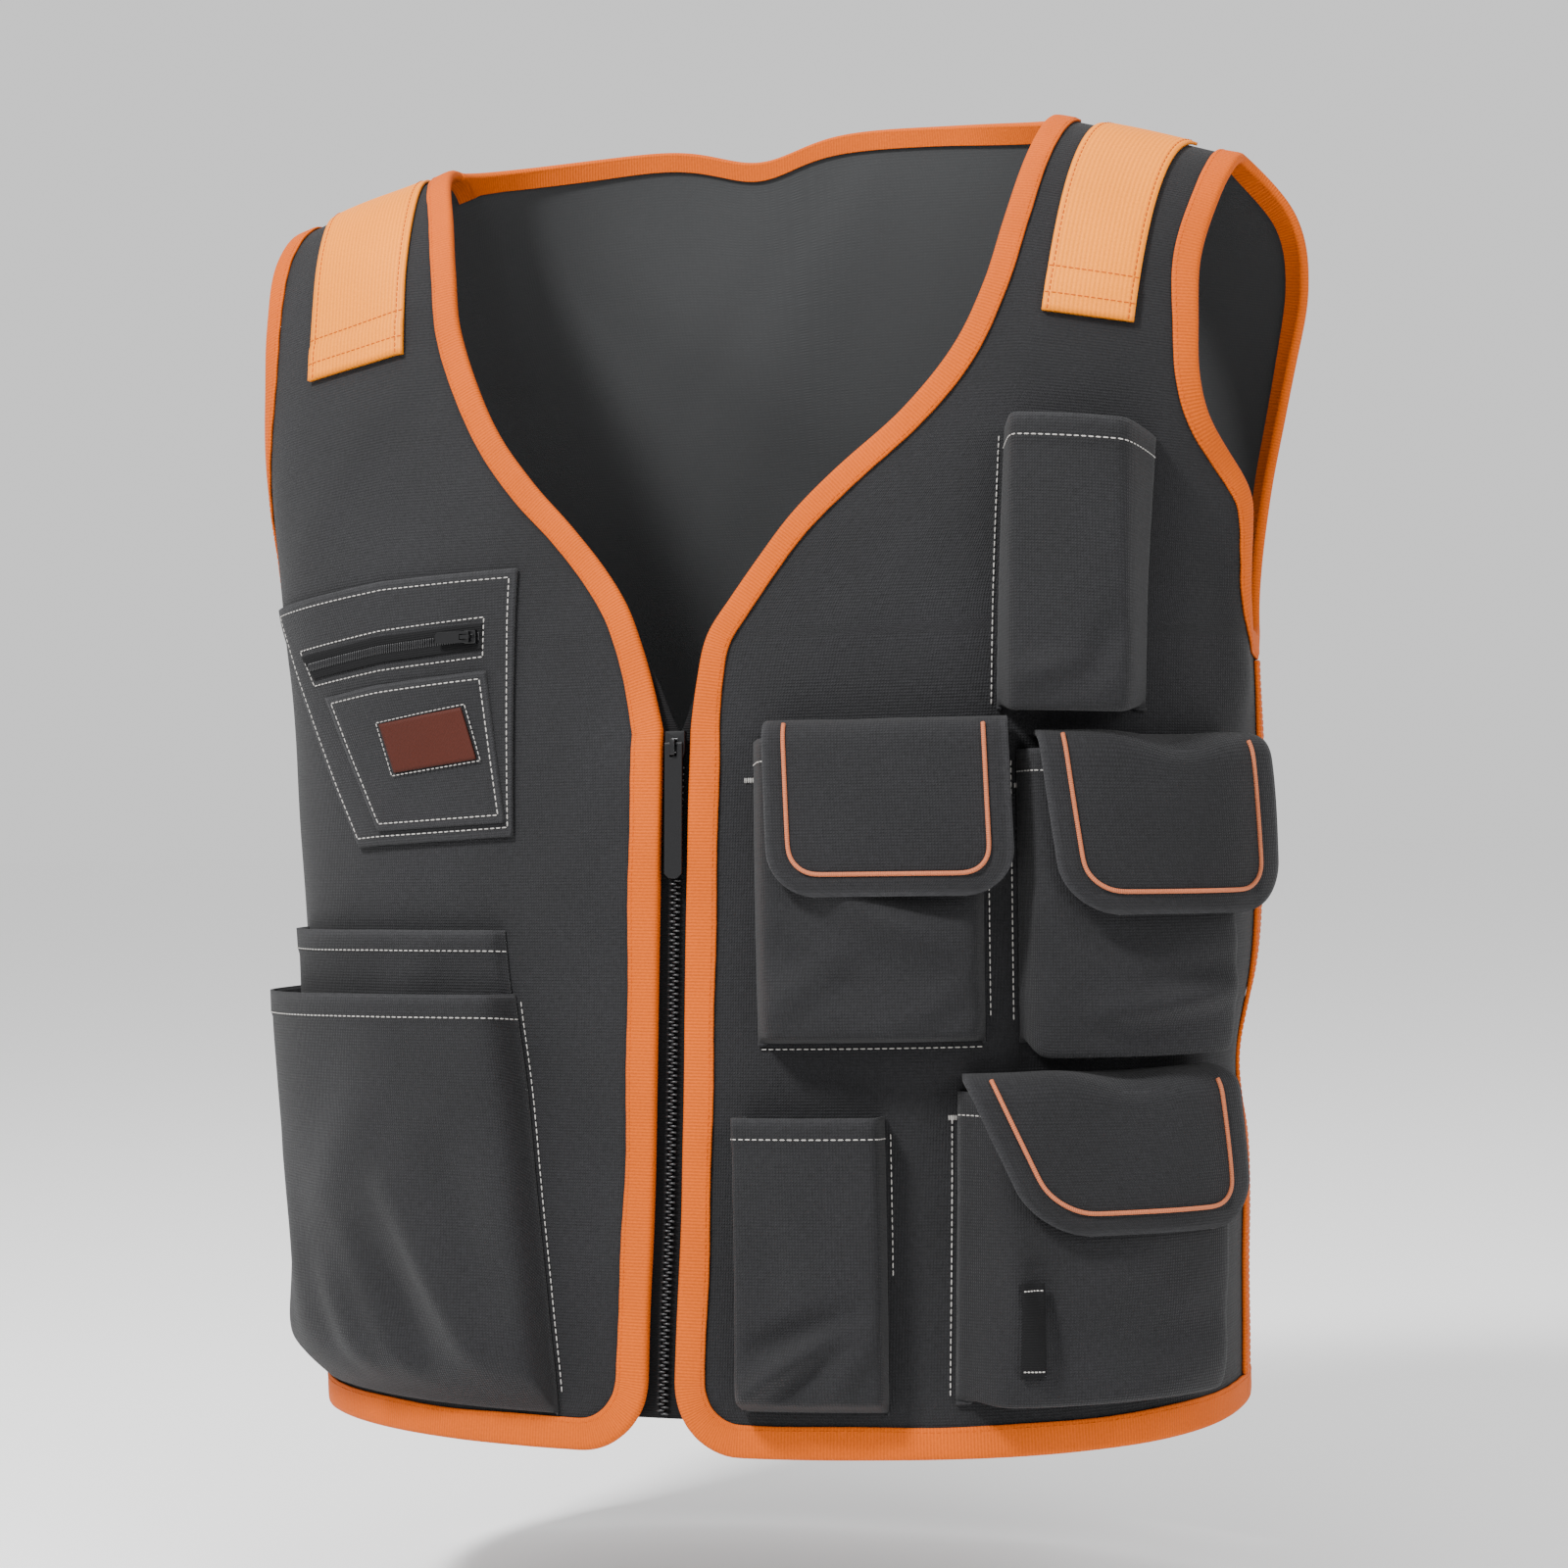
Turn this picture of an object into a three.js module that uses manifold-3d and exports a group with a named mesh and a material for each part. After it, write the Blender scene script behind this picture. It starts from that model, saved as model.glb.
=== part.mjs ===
// Utility work vest in its worn form: two zipped fronts, a back, orange bound edges and canvas pockets.
// The vest faces -Y, the wearer's left is +X and up is +Z. Lengths are millimetres, angles degrees.
import * as THREE from 'three';
import { mergeVertices } from 'three/addons/utils/BufferGeometryUtils.js';
import Module from 'manifold-3d';

const wasm = await Module();
wasm.setup();

// Driving dimensions of the body
const HEIGHT = 575;
const HALF_WIDTH = 226;
const FRONT_DEPTH = 116;
const BACK_DEPTH = 108;
const FORWARD_SWAY = 6.4;
const SHOULDER_SLOPE = 0.288;
const NECK_HALF_WIDTH = 148;
const ARMHOLE_BOTTOM = 345;
const BACK_FLARE = 16;
const BACK_NECK_DEPTH = 66;
const BACK_NECK_STAND = 15;
const NECK_DIP = { middle: -0.13, width: 0.2, share: 0.72 };
const SIDE_SEAM_ANGLE = 93;
const CREST_POWER = 6.5;
const DROP_POWER = 3;
const SECTION_POWER = 2.35;
const SECTION_SQUARING = 1.65;

// Closure and cloth
const ZIP_TOP = 306;
const ZIP_LEAN = 7;
const CLOSURE_HALF_GAP = 8;
const CORNER_RADIUS = 29;
const NECK_REACH_RIGHT = 140;
const NECK_REACH_LEFT = 144;
const CLOTH = 1.6;
const TAPE = 1;
const POCKET_CLOTH = 1.3;
const BINDING_WIDTH = 11;
const BINDING_OVERHANG = 0.4;
const LAYER_GAP = 0.5;
const INNER_GAP = 0.8;
const FACET_ALLOWANCE = 0.35;
const SEAM_HALF_GAP = 0.15;

const CREST_PANEL_STEPS = 11;
const FRONT_COLUMNS = 11;
const LOWER_ROWS = 8;
const DEGREE = Math.PI / 180;

// Girth sections from hem to crest: heights as shares of HEIGHT, the rest as shares of the named sizes
const BODY_ROWS = [
  { height: 0.0, width: 0.943, front: 1.197, back: 1.211, sway: 0.0, square: 0.0 },
  { height: 0.2, width: 0.958, front: 1.082, back: 1.088, sway: 0.0, square: 0.0 },
  { height: 0.4, width: 1.0, front: 1.004, back: 1.005, sway: 0.0, square: 0.0 },
  { height: 0.6, width: 1.009, front: 0.916, back: 0.913, sway: 0.1, square: 0.18 },
  { height: 0.8, width: 1.046, front: 0.771, back: 0.765, sway: 0.4, square: 0.7 },
  { height: 1.0, width: 1.11, front: 0.672, back: 0.662, sway: 1.0, square: 1.0 },
];

// Neckline: rise from the zip's top to the crest, reach from the closure to the widest point
const NECKLINE = [
  { rise: 0.0, right: 0.0, left: 0.0 },
  { rise: 0.08, right: 0.045, left: 0.02 },
  { rise: 0.15, right: 0.095, left: 0.05 },
  { rise: 0.21, right: 0.15, left: 0.125 },
  { rise: 0.27, right: 0.235, left: 0.21 },
  { rise: 0.34, right: 0.36, left: 0.32 },
  { rise: 0.41, right: 0.5, left: 0.46 },
  { rise: 0.5, right: 0.65, left: 0.66 },
  { rise: 0.6, right: 0.76, left: 0.82 },
  { rise: 0.7, right: 0.84, left: 0.905 },
  { rise: 0.8, right: 0.88, left: 0.945 },
  { rise: 0.9, right: 0.925, left: 0.975 },
  { rise: 1.0, right: 1.0, left: 1.0 },
];

// Armholes: rise from the armhole's bottom to the crest, edge angles round the body from the centre front
const ARMHOLE = [
  { rise: 0.0, right: 93.0, left: 93.0, back: 93.0 },
  { rise: 0.018, right: 87.5, left: 87.0, back: 99.0 },
  { rise: 0.045, right: 85.5, left: 84.8, back: 101.5 },
  { rise: 0.09, right: 84.5, left: 83.0, back: 103.0 },
  { rise: 0.16, right: 84.0, left: 82.0, back: 104.0 },
  { rise: 0.26, right: 83.0, left: 80.0, back: 105.0 },
  { rise: 0.33, right: 80.5, left: 75.7, back: 106.0 },
  { rise: 0.42, right: 75.5, left: 65.3, back: 107.0 },
  { rise: 0.5, right: 71.0, left: 60.5, back: 108.0 },
  { rise: 0.61, right: 66.5, left: 57.6, back: 109.0 },
  { rise: 0.75, right: 64.0, left: 54.7, back: 110.0 },
  { rise: 0.9, right: 61.5, left: 55.7, back: 113.0 },
  { rise: 1.0, right: 57.2, left: 57.2, back: 122.8 },
];

// Soft folds of the shell, each a ridge or valley along a line from one point to the next
const FOLD_SIZE = 10;
const FOLDS = [
  { angle: 79, height: 0.7, toAngle: 82, toHeight: 0.57, width: 2.0, depth: 0.5 },
  { angle: 98, height: 0.27, toAngle: 118, toHeight: 0.25, width: 2.6, depth: -0.9 },
  { angle: -86, height: 0.57, toAngle: -88, toHeight: 0.42, width: 1.8, depth: 0.5 },
  { angle: -98, height: 0.3, toAngle: -124, toHeight: 0.36, width: 2.2, depth: -0.7 },
  { angle: 152, height: 0.84, toAngle: 138, toHeight: 0.4, width: 2.4, depth: 0.6 },
  { angle: -152, height: 0.82, toAngle: -140, toHeight: 0.36, width: 2.4, depth: 0.6 },
  { angle: 178, height: 0.42, toAngle: 176, toHeight: 0.04, width: 3.0, depth: -0.6 },
  { angle: 122, height: 0.24, toAngle: 126, toHeight: 0.0, width: 2.4, depth: 0.7 },
  { angle: -130, height: 0.22, toAngle: -126, toHeight: 0.0, width: 2.4, depth: 0.7 },
];

// Value of a table's column at a place, by a smooth curve through its rows
function tableCurve(rows, key, column, place) {
  const last = rows.length - 1;
  const at = Math.min(Math.max(place, rows[0][key]), rows[last][key]);
  let i = 0;
  while (i < last - 1 && at > rows[i + 1][key]) i += 1;
  const slope = (k) => {
    const low = rows[Math.max(k - 1, 0)];
    const high = rows[Math.min(k + 1, last)];
    return (high[column] - low[column]) / (high[key] - low[key]);
  };
  const span = rows[i + 1][key] - rows[i][key];
  const s = (at - rows[i][key]) / span;
  const start = rows[i][column] * (2 * s ** 3 - 3 * s ** 2 + 1);
  const end = rows[i + 1][column] * (3 * s ** 2 - 2 * s ** 3);
  const leave = slope(i) * span * (s ** 3 - 2 * s ** 2 + s);
  const arrive = slope(i + 1) * span * (s ** 3 - s ** 2);
  return start + end + leave + arrive;
}

const bodyValue = (column, t) => tableCurve(BODY_ROWS, 'height', column, t);
const clamp = (value, low, high) => Math.min(Math.max(value, low), high);
const mix = (a, b, s) => a + (b - a) * s;

// Half width of the girth section, with the back standing out beside the armholes; the gain makes the most 1
const FLARE_GAIN = 4 ** 4 / 3 ** 3;
function halfWidth(t, isBack) {
  const s = clamp((t * HEIGHT - ARMHOLE_BOTTOM) / (HEIGHT - ARMHOLE_BOTTOM), 0, 1);
  const flare = isBack ? BACK_FLARE * FLARE_GAIN * s ** 3 * (1 - s) : 0;
  return HALF_WIDTH * bodyValue('width', t) + flare;
}

const sectionPower = (t) => SECTION_POWER + SECTION_SQUARING * bodyValue('square', t);

// Height of the soft folds at a place, in millimetres; a degree round the body is about 3.1 mm of cloth
const CLOTH_PER_DEGREE = 3.1;
function foldHeight(angle, t) {
  let sum = 0;
  for (const fold of FOLDS) {
    const ax = fold.angle * CLOTH_PER_DEGREE;
    const ay = fold.height * HEIGHT;
    const bx = fold.toAngle * CLOTH_PER_DEGREE - ax;
    const by = fold.toHeight * HEIGHT - ay;
    const turned = angle - 360 * Math.round((angle - fold.angle) / 360);
    const px = turned * CLOTH_PER_DEGREE - ax;
    const py = t * HEIGHT - ay;
    const s = clamp((px * bx + py * by) / (bx * bx + by * by), 0, 1);
    const distance = Math.hypot(px - bx * s, py - by * s) / (fold.width * FOLD_SIZE);
    sum += fold.depth * FOLD_SIZE * Math.exp(-distance * distance);
  }
  return sum;
}

// Point of the shell at an angle round the body and a share of the height
function surface(angle, t, folded = true) {
  const sine = Math.sin(angle * DEGREE);
  const cosine = Math.cos(angle * DEGREE);
  const isBack = cosine < 0;
  const power = sectionPower(t);
  const width = halfWidth(t, isBack);
  const depth = isBack ? BACK_DEPTH * bodyValue('back', t) : FRONT_DEPTH * bodyValue('front', t);
  const across = Math.sign(sine) * Math.abs(sine) ** (2 / power);
  const along = Math.abs(cosine) ** (2 / power);
  const x = width * across;
  const neck = Math.abs(x) / NECK_HALF_WIDTH;
  const rise = Math.max(t, 0);
  let crest = Math.sqrt(Math.max(1 - rise ** CREST_POWER, 0));
  let lift = 0;
  if (isBack && neck < 1) {
    const open = clamp(BACK_NECK_DEPTH * Math.sqrt(1 - neck ** 2.5) / (depth * along), 0, 0.95);
    crest = Math.sqrt(open ** 2 + (1 - open ** 2) * crest ** 2);
    const fromDip = (x / NECK_HALF_WIDTH - NECK_DIP.middle) / NECK_DIP.width;
    const dip = 1 - NECK_DIP.share * Math.exp(-(fromDip ** 2));
    lift = BACK_NECK_STAND * (1 - neck ** 2) ** 0.7 * dip * rise ** 8;
  }
  const y = FORWARD_SWAY * bodyValue('sway', t) + (isBack ? 1 : -1) * depth * along * crest;
  const drop = SHOULDER_SLOPE * Math.max(Math.abs(x) - NECK_HALF_WIDTH, 0) * rise ** DROP_POWER;
  const point = new THREE.Vector3(x, y, t * HEIGHT - drop + lift);
  if (folded) {
    const out = new THREE.Vector3(
      Math.sign(sine) * Math.abs(across) ** (power - 1) / width,
      (isBack ? 1 : -1) * along ** (power - 1) / depth, 0).normalize();
    point.addScaledVector(out, foldHeight(angle, t));
  }
  return point;
}

// Outward direction of the shell; near the crest the height is followed by the root of what is left
const NORMAL_STEP = 0.004;
function normal(angle, t) {
  const rest = Math.max(Math.sqrt(Math.max(1 - t, 0)), 0.01);
  const round = surface(angle + 0.2, t).sub(surface(angle - 0.2, t));
  const up = surface(angle, 1 - (rest - NORMAL_STEP) ** 2).sub(surface(angle, 1 - (rest + NORMAL_STEP) ** 2));
  return round.cross(up).normalize();
}

const layer = (angle, t, out) => surface(angle, t).addScaledVector(normal(angle, t), out);

// Angle of a point at a distance along the cloth from the centre front
const girthTables = new Map();
const GIRTH_STEP = 1;
function angleAtGirth(girth, t) {
  const key = t.toFixed(5);
  if (!girthTables.has(key)) {
    const lengths = [0];
    for (let a = GIRTH_STEP; a <= 120; a += GIRTH_STEP) {
      const piece = surface(a, t, false).distanceTo(surface(a - GIRTH_STEP, t, false));
      lengths.push(lengths[lengths.length - 1] + piece);
    }
    girthTables.set(key, lengths);
  }
  const lengths = girthTables.get(key);
  const wanted = Math.abs(girth);
  let i = 0;
  while (i < lengths.length - 2 && lengths[i + 1] < wanted) i += 1;
  const part = (wanted - lengths[i]) / (lengths[i + 1] - lengths[i]);
  return Math.sign(girth) * (i + part) * GIRTH_STEP;
}

const angleAtWidth = (x, t) => Math.asin((x / halfWidth(t, false)) ** (sectionPower(t) / 2)) / DEGREE;
const onCloth = (girth, height, out) => layer(angleAtGirth(girth, height / HEIGHT), height / HEIGHT, out);

// The pockets' tables are drawn for a body of this size, and their places grow and shrink with it
const DRAWN_FOR = { height: 575, halfWidth: 226 };
const onPattern = (girth, height, out) => onCloth(
  girth * HALF_WIDTH / DRAWN_FOR.halfWidth, height * HEIGHT / DRAWN_FOR.height, out);

// Closed solid between two grids of points with the same rows and columns, each quad split the short way
function shell(outer, inner) {
  const rows = outer.length;
  const columns = outer[0].length;
  const positions = [];
  for (const p of [...outer.flat(), ...inner.flat()]) positions.push(p.x, p.y, p.z);
  const half = rows * columns;
  const index = [];
  const quad = (a, b, c, d) => index.push(a, b, c, a, c, d);
  for (let i = 0; i + 1 < rows; i += 1) {
    for (let j = 0; j + 1 < columns; j += 1) {
      const a = i * columns + j;
      const falling = outer[i][j].distanceTo(outer[i + 1][j + 1]);
      const rising = outer[i][j + 1].distanceTo(outer[i + 1][j]);
      const turn = rising < falling ? 1 : 0;
      const ring = [a, a + 1, a + columns + 1, a + columns];
      const [p, q, r, s] = ring.map((_, k) => ring[(k + turn) % 4]);
      quad(p, q, r, s);
      quad(half + p, half + s, half + r, half + q);
    }
  }
  const rim = [];
  for (let j = 0; j < columns; j += 1) rim.push(j);
  for (let i = 1; i < rows; i += 1) rim.push(i * columns + columns - 1);
  for (let j = columns - 2; j >= 0; j -= 1) rim.push((rows - 1) * columns + j);
  for (let i = rows - 2; i >= 1; i -= 1) rim.push(i * columns);
  rim.forEach((a, k) => {
    const b = rim[(k + 1) % rim.length];
    quad(b, a, half + a, half + b);
  });
  return solid(positions, index);
}

// Geometry with its faces turned outwards
function solid(positions, index) {
  let volume = 0;
  const at = (k) => new THREE.Vector3(positions[3 * k], positions[3 * k + 1], positions[3 * k + 2]);
  for (let k = 0; k < index.length; k += 3) {
    volume += at(index[k]).dot(at(index[k + 1]).cross(at(index[k + 2])));
  }
  if (volume < 0) index.reverse();
  const geometry = new THREE.BufferGeometry();
  geometry.setAttribute('position', new THREE.Float32BufferAttribute(positions, 3));
  geometry.setIndex(index);
  geometry.computeVertexNormals();
  return geometry;
}

// Sheet of cloth with its outer face on a grid, thickened towards the back of the grid
function thicken(outer, thickness, flip) {
  const rows = outer.length;
  const columns = outer[0].length;
  const faces = [];
  for (let i = 0; i + 1 < rows; i += 1) {
    faces.push([]);
    for (let j = 0; j + 1 < columns; j += 1) {
      const down = outer[i + 1][j + 1].clone().sub(outer[i][j]);
      const side = outer[i + 1][j].clone().sub(outer[i][j + 1]);
      faces[i].push(down.cross(side).multiplyScalar(flip ? -1 : 1).normalize());
    }
  }
  const inner = outer.map((row, i) => row.map((point, j) => {
    const beside = (row) => (faces[row] ? [faces[row][j - 1], faces[row][j]] : []);
    const near = [...beside(i - 1), ...beside(i)].filter((face) => face);
    const mean = near.reduce((sum, n) => sum.add(n), new THREE.Vector3()).normalize();
    const lean = near.reduce((least, n) => Math.min(least, n.dot(mean)), 1);
    return point.clone().addScaledVector(mean, -thickness / Math.max(lean, 0.6));
  }));
  return shell(outer, inner);
}

// Materials
const cloth = (color, roughness) => new THREE.MeshStandardMaterial({ color, roughness, metalness: 0 });
const CANVAS = cloth(0x343438, 0.9);
const BINDING = cloth(0xe8862f, 0.75);
const PATCH = cloth(0xff9a33, 0.6);
const TAPE_BLACK = cloth(0x1c1c1f, 0.85);
const LABEL = cloth(0x6e4034, 0.7);
const ZIP_BLACK = new THREE.MeshStandardMaterial({ color: 0x18181a, roughness: 0.4, metalness: 0.6 });

const worn = new THREE.Group();
function add(name, geometry, material) {
  const mesh = new THREE.Mesh(geometry, material);
  mesh.name = name;
  worn.add(mesh);
  return mesh;
}

const SIDES = [
  { name: 'right', sign: -1, reach: NECK_REACH_RIGHT },
  { name: 'left', sign: 1, reach: NECK_REACH_LEFT },
];

// Distance of a front's free edge from the centre front, along the cloth, on the wearer's right or left
function closureEdge(side, height) {
  const lean = -ZIP_LEAN * (1 - Math.min(height / ZIP_TOP, 1));
  const corner = Math.max(CORNER_RADIUS - height, 0);
  const round = CORNER_RADIUS - Math.sqrt(CORNER_RADIUS ** 2 - corner ** 2);
  return CLOSURE_HALF_GAP + side.sign * lean + round;
}

// Edge angles of a front panel at a height: the free edge or neckline, and the side seam or armhole
const SEAM_ANGLE_GAP = SEAM_HALF_GAP / FRONT_DEPTH / DEGREE;
function innerAngle(side, t) {
  const height = t * HEIGHT;
  if (height <= ZIP_TOP) return angleAtGirth(closureEdge(side, height), t);
  const rise = (height - ZIP_TOP) / (HEIGHT - ZIP_TOP);
  const share = tableCurve(NECKLINE, 'rise', side.name, rise);
  const start = mix(CLOSURE_HALF_GAP, NECK_HALF_WIDTH, share * side.reach / NECK_HALF_WIDTH);
  const crestPull = (NECK_HALF_WIDTH - side.reach) * rise ** 6;
  return angleAtWidth(start + crestPull, t);
}

function armholeAngle(column, t) {
  const rise = clamp((t * HEIGHT - ARMHOLE_BOTTOM) / (HEIGHT - ARMHOLE_BOTTOM), 0, 1);
  return rise > 0 ? tableCurve(ARMHOLE, 'rise', column, rise) : SIDE_SEAM_ANGLE;
}

// Heights of the panel rows, closer together at the corner, the armhole's bottom and the crest
const shoulderAngle = ARMHOLE[ARMHOLE.length - 1].left;
const crestDepth = FRONT_DEPTH * BODY_ROWS[BODY_ROWS.length - 1].front;
const crestPower = SECTION_POWER + SECTION_SQUARING;
const shoulderDepth = crestDepth * Math.cos(shoulderAngle * DEGREE) ** (2 / crestPower);
const CREST_END = (1 - (SEAM_HALF_GAP / shoulderDepth) ** 2) ** (1 / CREST_POWER);
const ARMHOLE_ROWS = [4, 10, 21];
function lowerRows() {
  const rows = [0, 22.5, 45, 67.5, 90].map((a) => CORNER_RADIUS * (1 - Math.cos(a * DEGREE)));
  for (let k = 1; k <= LOWER_ROWS; k += 1) rows.push(mix(CORNER_RADIUS, ZIP_TOP, k / LOWER_ROWS));
  rows.push(ARMHOLE_BOTTOM - BINDING_WIDTH, ARMHOLE_BOTTOM);
  return rows.map((height) => height / HEIGHT);
}

function upperRows() {
  const rows = ARMHOLE_ROWS.map((rise) => (ARMHOLE_BOTTOM + rise) / HEIGHT);
  const start = Math.sqrt(1 - rows[rows.length - 1]);
  for (let k = 1; k < CREST_PANEL_STEPS; k += 1) rows.push(1 - (start * (1 - k / CREST_PANEL_STEPS)) ** 2);
  return [...rows, CREST_END];
}

const LOWER = lowerRows();
const UPPER = upperRows();
const PANEL_ROWS = [...LOWER, ...UPPER];
const BACK_ROWS = PANEL_ROWS.filter((t) => t === 0 || t * HEIGHT >= CORNER_RADIUS);

const spread = (from, to, steps) => Array.from({ length: steps + 1 }, (_, k) => mix(from, to, k / steps));

// Share of a row that the binding covers, so that a panel column lies along the binding's inner edge
function edgeShare(edge, far, t) {
  const speed = surface(edge, t).distanceTo(surface(edge + 0.5, t)) / 0.5;
  return BINDING_WIDTH / speed / Math.abs(far - edge);
}

// How much longer the binding's width is along a row than across a slanting armhole edge
const STRETCH_STEP = 0.01;
const MOST_STRETCH = 1.7;
function edgeStretch(column, t) {
  if (t * HEIGHT <= ARMHOLE_BOTTOM) return 1;
  const edge = armholeAngle(column, t);
  const above = Math.min(t + STRETCH_STEP, CREST_END);
  const low = surface(armholeAngle(column, t - STRETCH_STEP), t - STRETCH_STEP);
  const along = surface(armholeAngle(column, above), above).sub(low).normalize();
  const row = surface(edge + 0.5, t).sub(surface(edge - 0.5, t)).normalize();
  return Math.min(1 / row.cross(along).length(), MOST_STRETCH);
}

// A grid of places on the shell: each has an angle and a share of the height
function frontPlaces(side) {
  return PANEL_ROWS.map((t) => {
    const inner = innerAngle(side, t);
    const isLow = t * HEIGHT <= ARMHOLE_BOTTOM;
    const outer = isLow ? SIDE_SEAM_ANGLE - SEAM_ANGLE_GAP : armholeAngle(side.name, t);
    const first = edgeShare(inner, outer, t);
    const last = 1 - edgeShare(outer, inner, t) * edgeStretch(side.name, t);
    const shares = [0, ...spread(first, last, FRONT_COLUMNS - 2), 1];
    return shares.map((share) => ({ angle: side.sign * mix(inner, outer, share), t }));
  });
}

const BACK_SHOULDER_COLUMNS = 4;
const NECK_END_SHARE = 0.85;
const BACK_NECK_COLUMNS = 12;
function backPlaces() {
  const neck = 180 - angleAtWidth(NECK_HALF_WIDTH, 1);
  const top = armholeAngle('back', 1);
  const neckShare = (neck - top) / (360 - 2 * top);
  const neckShares = spread(90, -90, BACK_NECK_COLUMNS).map((turn) => {
    const x = NECK_HALF_WIDTH * Math.sin(turn * DEGREE);
    const angle = 180 - Math.sign(x) * angleAtWidth(Math.abs(x), 1);
    return (angle - top) / (360 - 2 * top);
  });
  return BACK_ROWS.map((t) => {
    const seam = t * HEIGHT <= ARMHOLE_BOTTOM ? SIDE_SEAM_ANGLE + SEAM_ANGLE_GAP : armholeAngle('back', t);
    const first = edgeShare(seam, 360 - seam, t) * edgeStretch('back', t);
    const start = spread(first, neckShare, BACK_SHOULDER_COLUMNS - 1).slice(0, -1);
    const shares = [0, ...start, ...neckShares, ...start.map((share) => 1 - share).reverse(), 1];
    return shares.map((share) => ({ angle: seam + (360 - 2 * seam) * share, t }));
  });
}

const layGrid = (places, out) => places.map((row) => row.map((place) => layer(place.angle, place.t, out)));
const panel = (places) => shell(layGrid(places, CLOTH), layGrid(places, 0));

// Place that lies a distance into the cloth from an edge, at a right angle to it
function inset(place, tangent, inside, distance) {
  const edge = surface(place.angle, place.t);
  const across = normal(place.angle, place.t).cross(tangent).normalize();
  if (across.dot(inside.clone().sub(edge)) < 0) across.negate();
  const target = edge.clone().addScaledVector(across, distance);
  let angle = place.angle;
  let rest = Math.sqrt(Math.max(1 - place.t, 0));
  for (let k = 0; k < 8; k += 1) {
    const t = 1 - rest * rest;
    const miss = target.clone().sub(surface(angle, t));
    const du = surface(angle + 0.1, t).sub(surface(angle - 0.1, t)).divideScalar(0.2);
    const low = Math.max(rest - 0.002, 0);
    const dv = surface(angle, 1 - (low + 0.004) ** 2).sub(surface(angle, 1 - low ** 2)).divideScalar(0.004);
    const uu = du.dot(du) + 1e-6;
    const uv = du.dot(dv);
    const vv = dv.dot(dv) + 1e-3;
    const det = uu * vv - uv * uv;
    angle += clamp((vv * du.dot(miss) - uv * dv.dot(miss)) / det, -4, 4);
    rest = clamp(rest + clamp((uu * dv.dot(miss) - uv * du.dot(miss)) / det, -0.05, 0.05), 0.001, 0.9999);
  }
  return { place: { angle, t: 1 - rest * rest }, across };
}

// Binding folded over an edge: an outer leg, the turn round the edge and an inner leg
const PLAIN_BINDING = { outer: LAYER_GAP, inner: INNER_GAP, over: BINDING_OVERHANG };
const CURVED_BINDING = { outer: 1.2, inner: 2.3, over: 0.9 };
function bindEdge(stations, gaps = PLAIN_BINDING) {
  const outer = [];
  const inner = [];
  const points = stations.map(({ place }) => surface(place.angle, place.t));
  stations.forEach(({ place, inside, follows }, k) => {
    const before = points[Math.max(k - 1, 0)];
    const after = points[Math.min(k + 1, points.length - 1)];
    const tangent = after.clone().sub(before).normalize();
    const leg = inset(place, tangent, surface(inside.angle, inside.t), BINDING_WIDTH);
    if (follows) leg.place = inside;
    const section = (grow) => {
      const front = CLOTH + gaps.outer + grow;
      const back = -gaps.inner - grow;
      const over = -(gaps.over + grow);
      return [
        layer(leg.place.angle, leg.place.t, front),
        layer(place.angle, place.t, front).addScaledVector(leg.across, over),
        layer(place.angle, place.t, back).addScaledVector(leg.across, over),
        layer(leg.place.angle, leg.place.t, back),
      ];
    };
    outer.push(section(TAPE));
    inner.push(section(0));
  });
  return shell(outer, inner);
}

// Fronts, back and their bindings; the armhole's edge is nearly level for a short way above its bottom
const LEVEL_EDGE = 30;
const backGrid = backPlaces();
const lastRow = BACK_ROWS.length - 1;
const seamRow = LOWER.length - 1;
for (const side of SIDES) {
  const places = frontPlaces(side);
  add(`front_panel_${side.name}`, panel(places), CANVAS);
  const hemEdge = places[0].map((place, j) => ({ place, inside: places[1][j] })).reverse();
  const freeEdge = places.slice(1).map((row) => ({ place: row[0], inside: row[1] }));
  hemEdge[hemEdge.length - 1].inside = places[1][1];
  add(`front_binding_${side.name}`, bindEdge([...hemEdge, ...freeEdge]), BINDING);

  const seamColumn = side.sign > 0 ? 0 : backGrid[0].length - 1;
  const beside = seamColumn === 0 ? 1 : seamColumn - 1;
  const wrap = (angle) => (side.sign < 0 ? angle - 360 : angle);
  const down = places.slice(seamRow + 1).reverse().map((row) => ({
    place: row[FRONT_COLUMNS],
    inside: row[FRONT_COLUMNS - 1],
    follows: row[0].t * HEIGHT > ARMHOLE_BOTTOM + LEVEL_EDGE,
  }));
  const bottom = {
    place: { angle: side.sign * SIDE_SEAM_ANGLE, t: LOWER[seamRow] },
    inside: { angle: side.sign * SIDE_SEAM_ANGLE, t: LOWER[seamRow - 1] },
  };
  const up = backGrid.slice(BACK_ROWS.indexOf(LOWER[seamRow]) + 1).map((row) => ({
    place: { angle: wrap(row[seamColumn].angle), t: row[seamColumn].t },
    inside: { angle: wrap(row[beside].angle), t: row[beside].t },
    follows: row[0].t * HEIGHT > ARMHOLE_BOTTOM + LEVEL_EDGE,
  }));
  add(`armhole_binding_${side.name}`, bindEdge([...down, bottom, ...up], CURVED_BINDING), BINDING);
}
add('back_panel', panel(backGrid), CANVAS);
const backHem = backGrid[0].map((place, j) => ({ place, inside: backGrid[1][j] }));
add('back_hem_binding', bindEdge(backHem, CURVED_BINDING), BINDING);
const neckEnd = BACK_SHOULDER_COLUMNS + BACK_NECK_COLUMNS + 1;
const neckColumns = backGrid[lastRow].slice(BACK_SHOULDER_COLUMNS, neckEnd);
const endShift = (place, next) => ({ angle: mix(place.angle, next.angle, NECK_END_SHARE), t: place.t });
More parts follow.
